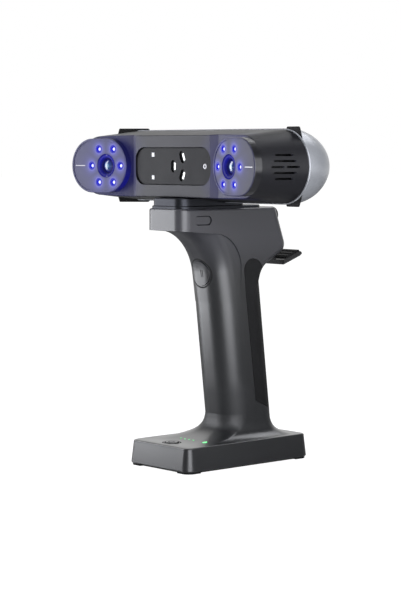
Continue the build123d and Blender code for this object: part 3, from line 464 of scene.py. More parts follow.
def pod_finish(name, side):
    """Smoked pod, lit blue round its lights, in their holes and along its inner side, with painted shade, a
    darker grey, on its walls, its holes' lips and round its lens.
    """
    sizes, tones, _ = settings()
    # painted light and shade: the left pod paler, the right pod darker
    tone = [part * (1.0 - side * POD_PAINTED_LIGHT_SHIFT) for part in tones.pod]
    tree, tint = plastic(name, tone, 0.44, 6400.0, 0.00001)
    (x, y, depth), away, out = ring_at(tree, side)
    lip = sizes.led_hole + sizes.glow_ring
    face = tree.fade(depth, -sizes.pod_inset * 1.14, -sizes.pod_inset * 1.04)
    edge = tree.fade(away, lip, sizes.led_hole + sizes.glow_ring * 0.6)
    halo = tree.times(fall(tree, away, lip, HALO_REACH), HALO_LIGHT)
    broad = tree.times(fall(tree, away, sizes.led_hole, GLOW_REACH), BROAD_LIGHT)
    on_face = tree.larger(tree.plus(halo, broad), tree.times(edge, LIP_LIGHT))
    bore = tree.fade(out, sizes.lens_hole * 1.16, sizes.lens_hole * 1.04, 0.0, BORE_LIGHT)
    inner = tree.fade(tree.times(x, -side), *FLANK_ACROSS)
    low = tree.fade(y, *FLANK_DOWN)
    outside = tree.fade(out, sizes.led_ring * 1.18, sizes.led_ring * 1.28)
    flank = tree.times(inner, low, FLANK_LIGHT, outside)
    deep = tree.larger(tree.times(edge, HOLE_LIGHT), bore, flank)
    wall = tree.times(tree.minus(1.0, face), tree.fade(depth, *POD_DEPTH))
    lit = tree.larger(tree.times(on_face, face), tree.times(deep, wall))
    soft = tree.times(face, tree.minus(1.0, edge))
    # painted shade: the walls, the lips of the lights' holes and the hollow round the lens take the darker
    # grey
    hollow = tree.fade(out, sizes.lens_hole * 1.16, sizes.lens_hole * 1.06)
    plain = tree.math("SUBTRACT", face, tree.larger(edge, hollow), clamp=True)
    flat = tree.larger(face, hollow)
    return tree.shade({
        "Base Color": tree.mix(plain, rgba(tones.painted_shade_grey, 0.8), tint),
        "Roughness": tree.fade(flat, 0.0, 1.0, 0.22, 0.46),
        "Specular IOR Level": 0.22,
        "Coat Weight": tree.fade(flat, 0.0, 1.0, 0.6, 0.0),
    }, tree.mix(lit, BLACK, tree.mix(soft, rgba(tones.glow), rgba(tones.halo))))


def diode_finish(name, side):
    """Blue diodes: a white core inside a blue body."""
    sizes, tones, _ = settings()
    tree = Paint(name)
    (_, _, depth), away, _ = ring_at(tree, side)
    grainy = tree.effect("moulded_grain", grain=2600.0, patch=900.0)
    core = tree.fade(away, sizes.led_dome * 1.02, sizes.led_dome * 0.72)
    glow = tree.mix(core, rgba(tones.glow), WHITE)
    return tree.shade({
        "Base Color": tree.mix(grainy["Tone"], rgba(tones.glow, 0.5), rgba(tones.halo)),
        "Roughness": tree.line(grainy["Tone"], 0.1, 0.2),
    }, tree.mix(tree.fade(depth, *LAMP_DEPTH), BLACK, glow))


# light on the cone at the glass and at the bore, and what its lower and its upper half make of it
CONE_LIGHT = (0.07, 0.26)
CONE_HALVES = (-0.006, 0.006, 0.7, 1.15)


def baffle_finish(name, side):
    """Black stepped cone in front of a lens, lit by the ring, more so in its upper half."""
    sizes, tones, _ = settings()
    tree, _ = plastic(name, tones.black, 0.62, 3800.0, 0.00001)
    (_, y, depth), _, out = ring_at(tree, side)
    lit = tree.fade(out, sizes.lens_radius, sizes.lens_bore, *CONE_LIGHT)
    upper = tree.fade(y, *CONE_HALVES)
    lit = tree.times(lit, tree.fade(depth, *LAMP_DEPTH), upper)
    return tree.shade({"Specular IOR Level": 0.15}, tree.mix(lit, BLACK, rgba(tones.glow)))


# heights on the handle between which its tone turns to the paler crown, which is painted light, and its
# gloss and its rounder shading change; for the gloss also its strength at both
CROWN_PAINTED_LIGHT = (0.128, 0.165)
CROWN_GLOSS = (0.130, 0.165, 0.5, 0.15)
BASE_GLOSS = (0.032, 0.018, 0.0, 0.2)
FLARE_FOOT = (0.021, 0.028)
FLARE_TOP = (0.064, 0.048)
GRIP_START = (0.022, 0.046)
GRIP_END = (0.150, 0.120)
# share of the gloss that the flare takes away, and what it and the painted shade in a button's gap add to
# the roughness
FLARE_DULL = 0.85
FLARE_ROUGH = 0.20
GAP_SHADE_ROUGH = 0.5
# how round the grip's gloss is, where its middle line meets the table, and how far that line leans
GRIP_ROUND = 24.0
GRIP_FOOT = 0.0213
GRIP_SLOPE = 0.1161
# half the width of the painted shade in the gap round a button, and where the two painted shades end,
# backwards and upwards
GAP_SHADE_HALF = 0.0005
SCAN_GAP_SHADE_END = (0.0, -0.002)
POWER_GAP_SHADE_END = (0.030, 0.026)


def handle_finish():
    """Dark satin moulding, paler on the crown as painted light, with round gloss on the grip and painted
    shade in the gaps round its buttons.
    """
    _, tones, _ = settings()
    tree, tint = plastic("handle_grey", tones.handle, 0.35, 5600.0, 0.00001)
    x, y, z = tree.split(tree.place())
    scan = tree.times(gap_shade_mask(tree, "scan_button", x, z, 2), tree.fade(y, *SCAN_GAP_SHADE_END))
    power = tree.times(gap_shade_mask(tree, "power_button", x, y, 1), tree.fade(z, *POWER_GAP_SHADE_END))
    # painted shade, near black, in the gaps round the two buttons
    gap_shade = tree.larger(scan, power)
    # the crown's paler grey is painted light
    body = tree.mix(tree.fade(z, *CROWN_PAINTED_LIGHT), tint, rgba(tones.crown))
    gloss = tree.plus(tree.fade(z, *CROWN_GLOSS), tree.fade(z, *BASE_GLOSS))
    flare = tree.times(tree.fade(z, *FLARE_FOOT), tree.fade(z, *FLARE_TOP))
    dull = tree.larger(gap_shade, tree.times(flare, FLARE_DULL))
    rough = tree.line(flare, FLARE_ROUGH, tree.shader.inputs["Roughness"].links[0].from_socket)
    tree.shade({
        "Base Color": tree.mix(gap_shade, body, rgba(tones.black, 0.2)),
        "Roughness": tree.line(gap_shade, GAP_SHADE_ROUGH, rough),
        "Coat Weight": tree.times(gloss, tree.minus(1.0, dull)),
        "Coat Roughness": 0.32,
    })
    middle = tree.line(z, -GRIP_SLOPE, GRIP_FOOT)
    radial = tree.add("CombineXYZ")
    tree.fill(radial, {"X": x, "Y": tree.minus(y, middle)})
    grip = tree.times(tree.fade(z, *GRIP_START), tree.fade(z, *GRIP_END), GRIP_ROUND)
    rounder = tree.scaled(radial.outputs[0], grip)
    normal = tree.vector("ADD", tree.add("NewGeometry").outputs["Normal"], rounder)
    grain = tree.shader.inputs["Normal"].links[0].from_node
    tree.put(grain.inputs["Normal"], tree.vector("NORMALIZE", normal))
    return tree.material


def gap_shade_mask(tree, button, across, along, axis):
    """Painted shade in the gap round a round button, measured across the x axis and one other axis of the
    frame.
    """
    lo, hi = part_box(button)
    radius = (hi[0] - lo[0]) / 2
    away = tree.hypot(across, tree.minus(along, (lo[axis] + hi[axis]) / 2))
    return tree.fade(tree.math("ABSOLUTE", tree.minus(away, radius)), GAP_SHADE_HALF * 1.3, GAP_SHADE_HALF * 0.7)


def rear_finish():
    """Sprayed silver back with a fine drawn texture."""
    _, tones, _ = settings()
    tree, tint = plastic("rear_shell_silver", tones.rear, 0.38, 4600.0, 0.000016, 0.12)
    lines = tree.effect("brushed_lines", stretch=(0.05, 1.0, 1.0), lines=900.0)
    return tree.shade({
        "Base Color": tree.mix(tree.times(lines["Tone"], 0.25), tint, rgba(tones.rear, 0.7)),
        "Metallic": 0.4,
    })


def metal_finish(name, tone, roughness, stretch):
    """Machined metal with drawn lines."""
    tree = Paint(name)
    lines = tree.effect("brushed_lines", stretch=stretch, lines=1500.0)
    marks = tree.effect("handling_marks", size=22.0)
    tree.shade({
        "Base Color": tree.mix(lines["Tone"], rgba(tone, 0.82), rgba(tone, 1.1)),
        "Roughness": tree.line(marks["Mask"], 0.12, roughness),
        "Metallic": 1.0,
    })
    tree.bump(lines["Height"], 0.00001)
    return tree.material


def rubber_finish(name, tone):
    """Soft black rubber with a fine open grain."""
    tree = Paint(name)
    grainy = tree.effect("moulded_grain", grain=3600.0, patch=60.0)
    marks = tree.effect("handling_marks", size=20.0)
    tint = tree.mix(grainy["Tone"], rgba(tone, 0.85), rgba(tone, 1.15))
    tree.shade({
        "Base Color": tree.mix(tree.times(marks["Mask"], 0.10), tint, rgba(tone, 3.0)),
        "Roughness": tree.line(grainy["Height"], 0.12, 0.55),
        "Specular IOR Level": 0.22,
    })
    tree.bump(grainy["Height"], 0.00004)
    return tree.material


def board_finish():
    """Solder mask with faint copper runs."""
    _, tones, _ = settings()
    tree = Paint("circuit_board_green")
    runs = tree.effect("brushed_lines", stretch=(0.2, 1.0, 1.0), lines=420.0)
    grainy = tree.effect("moulded_grain", grain=900.0, patch=80.0)
    return tree.shade({
        "Base Color": tree.mix(tree.times(runs["Tone"], 0.6), rgba(tones.board), rgba(tones.board, 1.8)),
        "Roughness": tree.line(grainy["Tone"], 0.1, 0.35),
    })


# tints of the lens coating: rim, middle, patches; then the painted light: a faint blue glow over the glass
# and a painted reflection on its middle
COATING = (0.012, 0.012, 0.11, 1), (0.02, 0.10, 0.16, 1), (0.05, 0.02, 0.14, 1)
LENS_PAINTED_LIGHT = (0.004, 0.004, 0.05, 1), (0.16, 0.25, 0.30, 1)


def lens_finish(name, side):
    """Coated camera glass: deep blue, paler towards the middle, with a bright gloss, a faint painted blue
    glow and a painted reflection on its middle.
    """
    sizes, _, _ = settings()
    tree = Paint(name)
    _, _, out = ring_at(tree, side)
    grainy = tree.effect("moulded_grain", grain=900.0, patch=500.0)
    rim, centre, patches = COATING
    coating = tree.mix(tree.fade(out, sizes.lens_radius, 0.0), rim, centre)
    glint_mask = tree.fade(out, sizes.lens_radius * 0.36, sizes.lens_radius * 0.16)
    # painted light: a faint blue glow over the glass, brighter as a painted reflection in its middle
    return tree.shade({
        "Base Color": tree.mix(tree.times(grainy["Tone"], 0.3), coating, patches),
        "Roughness": 0.06,
        "IOR": 1.6,
        "Coat Weight": 0.5,
        "Coat Roughness": 0.03,
    }, tree.mix(glint_mask, *LENS_PAINTED_LIGHT))


def lamp_finish(name, core, rim, strength):
    """Lit window: an even light with a slight unevenness over its face."""
    tree = Paint(name)
    grainy = tree.effect("moulded_grain", grain=2600.0, patch=900.0)
    return tree.shade({
        "Base Color": tree.mix(grainy["Tone"], core, rim),
        "Roughness": tree.line(grainy["Tone"], 0.1, 0.15),
    }, tree.mix(grainy["Tone"], rim, core), strength)


def panel_finish():
    """Grey on the panel's face, and painted shade, near black, on the walls of its slots."""
    _, tones, _ = settings()
    tree, tint = plastic("panel_grey", tones.panel, 0.46, 5200.0, 0.00002)
    _, back, _ = tree.split(tree.add("NewGeometry").outputs["True Normal"])
    face = tree.fade(tree.times(back, -1.0), 0.3, 0.6)
    # painted shade: the walls of the slots near black
    return tree.shade({
        "Base Color": tree.mix(face, rgba(tones.black, 0.35), tint),
        "Specular IOR Level": 0.12,
    })


FINISHES = {}


def finish(name):
    """A material by its short name, made once."""
    _, tones, _ = settings()
    green = rgba(tones.lamp_green), rgba(tones.lamp_green, 0.8)
    plastics = {
        "black": ("trim_black", tones.black, 0.34, 5200.0, 0.000012, 0.2),
        "inner": ("inner_moulding", tones.black, 0.6, 2600.0, 0.00003),
        "wrap": ("cell_wrap", tones.wrap, 0.25, 900.0, 0.00001),
        "window": ("window_black", (0.003, 0.003, 0.004), 0.5, 1200.0, 0.000002),
        "diode": ("diode_body", (0.30, 0.31, 0.33), 0.4, 2600.0, 0.00001),
        "mark": ("mark_black", tones.mark, 0.8, 3000.0, 0.00001),
    }
    makers = {
        "front": front_finish,
        "panel": panel_finish,
        "rear": rear_finish,
        "handle": handle_finish,
        "board": board_finish,
        "rubber": lambda: rubber_finish("soft_rubber", tones.rubber),
        "metal": lambda: metal_finish("machined_metal", tones.metal, 0.38, (1.0, 0.04, 1.0)),
        "steel": lambda: metal_finish("zinc_steel", tones.steel, 0.26, (1.0, 1.0, 0.05)),
        "green": lambda: lamp_finish("green_lamp", *green, 0.9),
        "dim green": lambda: lamp_finish("dim_green_lamp", *green, 0.35),
        "white": lambda: lamp_finish("white_lamp", WHITE, (0.86, 0.87, 0.90, 1), 0.95),
        "line": lambda: lamp_finish("light_line", (0.34, 0.34, 0.37, 1), (0.28, 0.28, 0.31, 1), 0.7),
    }
    if name not in FINISHES:
        FINISHES[name] = plastic(*plastics[name])[0].material if name in plastics else makers[name]()
    return FINISHES[name]


def dress(material, *nodes):
    """Give CAD nodes a material; their shapes stay."""
    for node in nodes:
        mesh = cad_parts[node].data
        mesh.materials.clear()
        mesh.materials.append(material)


# modelling

# distance below which vertices are one, and the angle from which an edge is sharp
WELD = 1e-7
SHARP = radians(32)


def new_object(name, data):
    item = bpy.data.objects.new(name, data)
    bpy.context.scene.collection.objects.link(item)
    return item


def new_piece(name, bm, material, replaced=(), body="handle"):
    """Finished piece from a bmesh, riding on a body of the scanner."""
    bmesh.ops.remove_doubles(bm, verts=bm.verts, dist=WELD)
    bmesh.ops.recalc_face_normals(bm, faces=bm.faces)
    mesh = bpy.data.meshes.new(name)
    bm.to_mesh(mesh)
    bm.free()
    mesh.shade_smooth()
    mesh.set_sharp_from_angle(angle=SHARP)
    mesh.materials.append(material)
    piece = new_object(name, mesh)
    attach(piece, body)
    if replaced:
        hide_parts(*replaced)


def join(bm, part, place):
    """Put a shape that was made on its own into a placed frame and add it to a piece."""
    bmesh.ops.transform(part, matrix=place, verts=part.verts)
    mesh = bpy.data.meshes.new("part")
    part.to_mesh(mesh)
    part.free()
    bm.from_mesh(mesh)
    bpy.data.meshes.remove(mesh)


def turn_profile(bm, points, place, steps=48):
    """Turn a profile of (radius, height) points about the z axis of a placed frame."""
    part = bmesh.new()
    verts = [part.verts.new((radius, 0, height)) for radius, height in points]
    edges = [part.edges.new(pair) for pair in zip(verts, verts[1:])]
    bmesh.ops.spin(
        part, geom=verts + edges, axis=(0, 0, 1), cent=(0, 0, 0), angle=FULL_TURN, steps=steps,
        use_merge=True)
    bmesh.ops.remove_doubles(part, verts=part.verts, dist=WELD)
    join(bm, part, place)


def rounded_bar(bm, size, edge, place, segments=2):
    """Bar with rounded edges, centred on a placed frame."""
    part = bmesh.new()
    bmesh.ops.create_cube(part, size=1.0, matrix=Matrix.Diagonal((*size, 1)))
    bmesh.ops.bevel(
        part, geom=part.edges, offset=edge, segments=segments, profile=0.5, affect="EDGES", material=-1)
    join(bm, part, place)


def facing(place, way):
    """Frame at a place whose z axis points to the front for 1 and to the back for -1."""
    return Matrix.Translation(place) @ Matrix.Rotation(way * pi / 2, 4, "X")


def dome(radius, crest, drop, steps=6):
    """Profile of a shallow dome, from its crest to its edge."""
    reach = asin(2 * radius * drop / (radius ** 2 + drop ** 2))
    ball = radius / sin(reach)
    return [(ball * sin(reach * step / steps), crest - ball * (1 - cos(reach * step / steps)))
            for step in range(steps + 1)]


def bar_face(bm, wide, tall, place):
    """Flat bar in a placed frame."""
    part = bmesh.new()
    bmesh.ops.create_grid(part, x_segments=4, y_segments=4, size=0.5)
    join(bm, part, place @ Matrix.Diagonal((wide, tall, 1, 1)))


def ring_face(bm, inner, outer, place, first=0.0, sweep=FULL_TURN, steps=40):
    """Flat ring, or part of one, in a placed frame."""
    part = bmesh.new()
    ends = [part.verts.new((radius * cos(first), radius * sin(first), 0)) for radius in (inner, outer)]
    edge = part.edges.new(ends)
    bmesh.ops.spin(
        part, geom=ends + [edge], axis=(0, 0, 1), cent=(0, 0, 0), angle=sweep, steps=steps,
        use_merge=sweep == FULL_TURN)
    join(bm, part, place)


def lay_on(bm, node, way, height):
    """Drop flat faces along a direction onto a CAD node and give them a thickness."""
    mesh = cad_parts[node].data
    surface = BVHTree.FromPolygons(
        [vert.co for vert in mesh.vertices], [list(face.vertices) for face in mesh.polygons])
    way = Vector(way)
    for vert in bm.verts:
        hit, _, _, _ = surface.ray_cast(vert.co, way)
        if hit is None:
            raise ValueError("a mark reaches past " + node)
        vert.co = hit - way * height
    bmesh.ops.recalc_face_normals(bm, faces=bm.faces)
    for face in bm.faces:
        if face.normal.dot(way) > 0:
            face.normal_flip()
    bmesh.ops.solidify(bm, geom=bm.faces, thickness=height * 2)


# operators

class ScannerOperator:
    """Dresses CAD nodes in the finishes of its table, then builds the pieces that the CAD leaves out."""
    bl_options = {"REGISTER", "UNDO"}
    wear = {}

    def execute(self, context):
        for name, nodes in self.wear.items():
            dress(finish(name), *nodes.split())
        self.build(context.scene)
        return {"FINISHED"}

    def build(self, scene):
        """Nothing, unless an operator has pieces of its own."""


class SCANNER_OT_stage(ScannerOperator, bpy.types.Operator):
    """Set the floor, the background, the lamps and the camera"""
    bl_idname = "scanner.stage"
    bl_label = "Studio"

    def build(self, scene):
        scene.view_settings.view_transform = "Standard"
        self.world(scene)
        self.floor()
        self.lamps()
        self.camera(scene)

    def world(self, scene):
        """White behind the scanner, darker in front of it as gloss shows it, even for matt surfaces."""
        _, _, stage = settings()
        world = bpy.data.worlds.new("studio")
        scene.world = world
        world.use_nodes = True
        tree = Tree(world.node_tree)
        base = world.node_tree.nodes["Background"]
        path = tree.add("LightPath").outputs
        behind = tree.vector("DOT_PRODUCT", tree.add("TexCoord").outputs["Generated"], BEHIND)
        room = tree.fade(behind, *BEHIND_EDGE, stage.room, 1.0)
        shiny = tree.times(path["Is Glossy Ray"], tree.minus(room, stage.ambient))
        even = tree.plus(shiny, stage.ambient)
        strength = tree.larger(path["Is Camera Ray"], path["Is Transmission Ray"], even)
        tree.fill(base, {"Color": WHITE, "Strength": strength})

    def floor(self):
        """White floor that keeps a soft shadow round the base and meets the background unseen."""
        _, _, stage = settings()
        bm = bmesh.new()
        bmesh.ops.create_grid(bm, x_segments=1, y_segments=1, size=FLOOR_REACH)
        mesh = bpy.data.meshes.new("floor")
        bm.to_mesh(mesh)
        bm.free()
        floor = new_object("floor", mesh)
        tree = Paint("studio_floor")
        path = tree.add("LightPath").outputs
        away = tree.vector("LENGTH", tree.place())
        glow = tree.fade(away, *FLOOR_SHADOW, stage.floor_glow, 1.0)
        mirrored = tree.times(path["Is Glossy Ray"], tree.fade(away, *FLOOR_MIRROR))
        seen = tree.larger(path["Is Camera Ray"], path["Is Transmission Ray"])
        shown = tree.larger(tree.times(seen, glow), mirrored)
        matt = {"Base Color": FLOOR_GREY, "Roughness": 0.8, "Specular IOR Level": 0.0}
        mesh.materials.append(tree.shade(matt, tree.mix(shown, BLACK, WHITE)))

    def lamps(self):
        for name, place, aim, size, tall, power in LAMPS:
            lamp = bpy.data.lights.new(name, "AREA")
            lamp.shape = "RECTANGLE"
            lamp.size = size
            lamp.size_y = tall
            lamp.energy = power
            lamp.color = LAMP_COLOUR
            item = new_object(name, lamp)
            item.location = place
            item.rotation_euler = (Vector(aim) - Vector(place)).to_track_quat("-Z", "Y").to_euler()
            item.visible_camera = False

    def camera(self, scene):
        _, _, stage = settings()
        camera = bpy.data.cameras.new("camera")
        camera.sensor_fit = "VERTICAL"
        camera.sensor_height = 36.0
        camera.lens = stage.lens
        item = new_object("camera", camera)
        item.location = stage.camera_place
        item.rotation_euler = (pi / 2 - stage.pitch, 0, stage.azimuth)
        scene.camera = item


# direction that points away from the lit front, where the white background is, and how it starts
BEHIND = (-0.745, 0.667, 0.0)
BEHIND_EDGE = (0.40, 0.95)
# floor: half its side, its grey for bounced light, where its shadow ends and where gloss sees it white
FLOOR_REACH = 12.0
FLOOR_GREY = (0.28, 0.28, 0.28, 1)
FLOOR_SHADOW = (0.25, 0.7)
FLOOR_MIRROR = (0.7, 1.6)
# the lamps are a little cool
LAMP_COLOUR = (0.94, 0.955, 1.0)
# name, place, aim, width, height and power of each soft box
LAMPS = (
    ("left_box", (-0.335, -0.266, 0.26), (0, 0, 0.26), 0.25, 0.50, 2.4),
    ("front_box", (0.38, -0.210, 0.24), (0, 0, 0.24), 0.34, 0.46, 3.0),
    ("side_box", (0.416, 0.060, 0.27), (0, 0, 0.27), 0.34, 0.30, 0.9),
    ("back_strip", (-0.05, 0.75, 0.95), (0, 0, 0.2), 0.60, 0.25, 2.4),
    ("top_box", (0.0, -0.1, 1.2), (0, 0, 0.2), 0.70, 0.70, 2.5),
)


class SCANNER_OT_head_shells(ScannerOperator, bpy.types.Operator):
    """Finish the two shells of the head, its bumpers and the panel between the pods"""
    bl_idname = "scanner.head_shells"
    bl_label = "Head shells"
    wear = {
        "front": "front_shell",
        "panel": "front_panel",
        "rear": "rear_shell",
        "rubber": "bumper_top_left bumper_top_right bumper_bottom_left bumper_bottom_right",
    }


class SCANNER_OT_pods(ScannerOperator, bpy.types.Operator):
    """Finish the camera pods and build their lenses, lights and light lines"""
    bl_idname = "scanner.pods"
    bl_label = "Camera pods"

    def build(self, scene):
        for name, side in SIDES:
            dress(pod_finish(name + "_pod_grey", side), name + "_camera_pod")
            dress(baffle_finish(name + "_baffle_black", side), name + "_lens_barrel")
            dress(finish("board"), name + "_led_board")
            dress(finish("inner"), name + "_camera")
            self.lens(name, side)
            self.lights(name, side)
            self.tally(name, side)

    def lens(self, name, side):
        sizes, _, _ = settings()
        place = pod_frame(side)
        edge = -sizes.lens_depth - sizes.lens_crown
        glass = dome(sizes.lens_radius, -sizes.lens_depth, sizes.lens_crown)
        glass += [(sizes.lens_radius, edge - LENS_RIM), (0, edge - LENS_RIM)]
        bm = bmesh.new()
        turn_profile(bm, glass, place)
        coated = lens_finish(name + "_lens_coated", side)
        new_piece(name + "_lens_glass", bm, coated, (name + "_lens",))
        rings = [(sizes.lens_bore, -BAFFLE_TOP)]
        narrow = sizes.lens_radius + BAFFLE_GAP
        for step in range(BAFFLE_STEPS):
            share_in = (step + 1) / BAFFLE_STEPS
            wide = sizes.lens_bore + (narrow - sizes.lens_bore) * share_in
            low = -BAFFLE_TOP + (edge + BAFFLE_TOP) * share_in
            rings += [(wide, rings[-1][1] - BAFFLE_LIP), (wide, low)]
        rings += [(narrow, edge - LENS_RIM), (sizes.lens_bore, edge - LENS_RIM), rings[0]]
        bm = bmesh.new()
        turn_profile(bm, rings, place)
        black = bpy.data.materials[name + "_baffle_black"]
        new_piece(name + "_lens_baffle", bm, black)

    def lights(self, name, side):
        sizes, _, _ = settings()
        bm = bmesh.new()
        base = pod_frame(side)
        shoulder = -sizes.led_crest - LED_CROWN
        profile = dome(sizes.led_dome, -sizes.led_crest, LED_CROWN)
        floor = -sizes.led_floor
        profile += [(sizes.led_body, shoulder), (sizes.led_body, floor), (0, floor)]
        for index in range(sizes.led_count):
            turn = FULL_TURN * index / sizes.led_count
            spot = Matrix.Translation((sizes.led_ring * cos(turn), sizes.led_ring * sin(turn), 0))
            turn_profile(bm, profile, base @ spot, steps=24)
        blue = diode_finish(name + "_blue_diodes", side)
        new_piece(name + "_ring_lights", bm, blue, (name + "_leds",))

    def tally(self, name, side):
        sizes, _, _ = settings()
        bm = bmesh.new()
        middle = side * (sizes.tally_start + sizes.tally_length / 2)
        place = pod_frame(side) @ Matrix.Translation((middle, 0, -sizes.pod_inset))
        size = (sizes.tally_length, sizes.tally_width, sizes.mark_proud * 2)
        rounded_bar(bm, size, sizes.mark_proud * EDGE_SHARE, place, 1)
        new_piece(name + "_light_line", bm, finish("line"))


# lens mount: thickness of the glass's rim, then the stepped cone's top, steps, lips and gap to the glass
LENS_RIM = 0.0012
BAFFLE_TOP = 0.0012
BAFFLE_STEPS = 4
BAFFLE_LIP = 0.00018
BAFFLE_GAP = 0.00008
# height of a diode's dome above its body
LED_CROWN = 0.0007
# rounding of a thin bar's edges as a share of its height above the surface
EDGE_SHARE = 0.8


class SCANNER_OT_centre_panel(ScannerOperator, bpy.types.Operator):
    """Finish the windows and lights of the centre panel"""
    bl_idname = "scanner.centre_panel"
    bl_label = "Centre panel"
    wear = {"window": "beam_windows texture_camera", "diode": "flash_leds"}

    def build(self, scene):
        self.beams()
        self.flashes()
        self.texture_ring()

    def front(self, x, z, forward, turn=0.0):
        """Frame on the panel: x to the right as seen from the front, y up, z forward."""
        sizes, _, _ = settings()
        return facing((x, -forward, sizes.lens_height + z), 1) @ Matrix.Rotation(turn, 4, "Z")

    def beams(self):
        sizes, _, _ = settings()
        bm = bmesh.new()
        for x, z, turn in BEAMS:
            window = self.front(x, z, sizes.window_front, radians(turn))
            place = window @ Matrix.Translation((BEAM_SHIFT, 0, 0))
            size = (sizes.bar_width, sizes.bar_length, BEAM_PROUD * 2)
            rounded_bar(bm, size, BEAM_PROUD * EDGE_SHARE, place)
        new_piece("beam_bars", bm, finish("white"))

    def flashes(self):
        sizes, _, _ = settings()
        bm = bmesh.new()
        lo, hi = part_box("flash_leds")
        for side in (-1, 1):
            off = (hi[2] - lo[2] - FLASH_BODY) / 2 * side
            height = (lo[2] + hi[2]) / 2 + off - sizes.lens_height
            place = self.front((lo[0] + hi[0]) / 2, height, -lo[1])
            rounded_bar(bm, (FLASH_CORE, FLASH_CORE, BEAM_PROUD * 2), BEAM_PROUD * EDGE_SHARE, place)
        new_piece("flash_cores", bm, finish("white"))

    def texture_ring(self):
        sizes, _, _ = settings()
        lo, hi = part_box("texture_camera")
        place = self.front((lo[0] + hi[0]) / 2, (lo[2] + hi[2]) / 2 - sizes.lens_height, -lo[1])
        bm = bmesh.new()
        inner, outer = TEXTURE_RING
        slope = BEAM_PROUD * SLOPE_SHARE
        low = BEAM_PROUD - slope
        turn_profile(
            bm, [(inner, 0), (inner, low), (inner + slope, BEAM_PROUD), (outer - slope, BEAM_PROUD),
                 (outer, low), (outer, 0), (inner, 0)], place)
        # the ring takes the light lines' lit finish, so it glows as painted light though it is no lamp
        new_piece("texture_ring", bm, finish("line"))


# places and turns of the three beam windows, and how their bars sit in them
BEAMS = ((0.0, 0.0, 0.0), (0.0095, 0.0064, 21.0), (0.0095, -0.0064, -21.0))
BEAM_SHIFT = 0.0003
BEAM_PROUD = 0.0001
# sizes of the flash lights and of the ring round the texture camera
FLASH_BODY = 0.0031
FLASH_CORE = 0.0018
TEXTURE_RING = (0.0009, 0.0017)
# sloped edge of that ring as a share of its height
SLOPE_SHARE = 0.4


class SCANNER_OT_handle(ScannerOperator, bpy.types.Operator):
    """Finish the handle, its pad, the quick release and the base"""
    bl_idname = "scanner.handle"
    bl_label = "Handle"
    wear = {
        "handle": "handle_shell scan_button power_button release_button",
        "rubber": "grip_pad base_sole jaw_pad",
        "black": "phone_arm phone_jaw base_plate",
        "metal": "seat_plate shoe",
        "dim green": "battery_lights",
        "green": "status_light",
    }

    def build(self, scene):
        self.scan_mark()
        self.power_mark()

    def scan_mark(self):
        """Triangle and two bars, the usual sign for start and pause."""
        sizes, _, _ = settings()
        lo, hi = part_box("scan_button")
        place = facing((0, lo[1] - MARK_DROP, (lo[2] + hi[2]) / 2), 1)
        bm = bmesh.new()
        tip, back, half = SCAN_TRIANGLE
        face = bm.faces.new([bm.verts.new((x, y, 0)) for x, y in ((back, -half), (tip, 0), (back, half))])
        bmesh.ops.inset_region(bm, faces=[face], thickness=sizes.mark_line, use_even_offset=True)
        bmesh.ops.delete(bm, geom=[face], context="FACES_ONLY")
        bmesh.ops.subdivide_edges(bm, edges=bm.edges, cuts=5, use_grid_fill=True)
        bmesh.ops.transform(bm, matrix=place, verts=bm.verts)
        for x in SCAN_BARS:
            bar_face(bm, sizes.mark_line, 2 * half, place @ Matrix.Translation((x, 0, 0)))
        lay_on(bm, "scan_button", (0, 1, 0), sizes.mark_proud)
        new_piece("scan_mark", bm, finish("mark"), body="scan_button")

    def power_mark(self):
        """Broken ring with a bar, the usual sign for power, and a line along the button's edge."""
        sizes, _, _ = settings()
        lo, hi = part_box("power_button")
        place = Matrix.Translation((0, (lo[1] + hi[1]) / 2, hi[2] + MARK_DROP))
        bm = bmesh.new()
        gap, ring, edge = POWER_MARK
        ring_face(bm, ring, ring + sizes.mark_line, place, pi / 2 + gap, FULL_TURN - 2 * gap, 32)
        ring_face(bm, edge, edge + sizes.mark_line, place)
        bar_face(bm, sizes.mark_line, ring, place @ Matrix.Translation((0, ring * POWER_BAR_SHARE, 0)))
        lay_on(bm, "power_button", (0, 0, -1), sizes.mark_proud)
        new_piece("power_mark", bm, finish("mark"), body="power_button")


# start height of a mark above its button; tip, back and half height of the triangle; places of the two bars
MARK_DROP = 0.004
SCAN_TRIANGLE = (-0.0002, -0.0042, 0.0026)
SCAN_BARS = (0.0011, 0.0027)
# half gap of the broken ring, its radius and the radius of the edge line
POWER_MARK = (0.6, 0.0019, 0.0044)
# place of the bar's middle as a share of the ring's radius
POWER_BAR_SHARE = 0.85


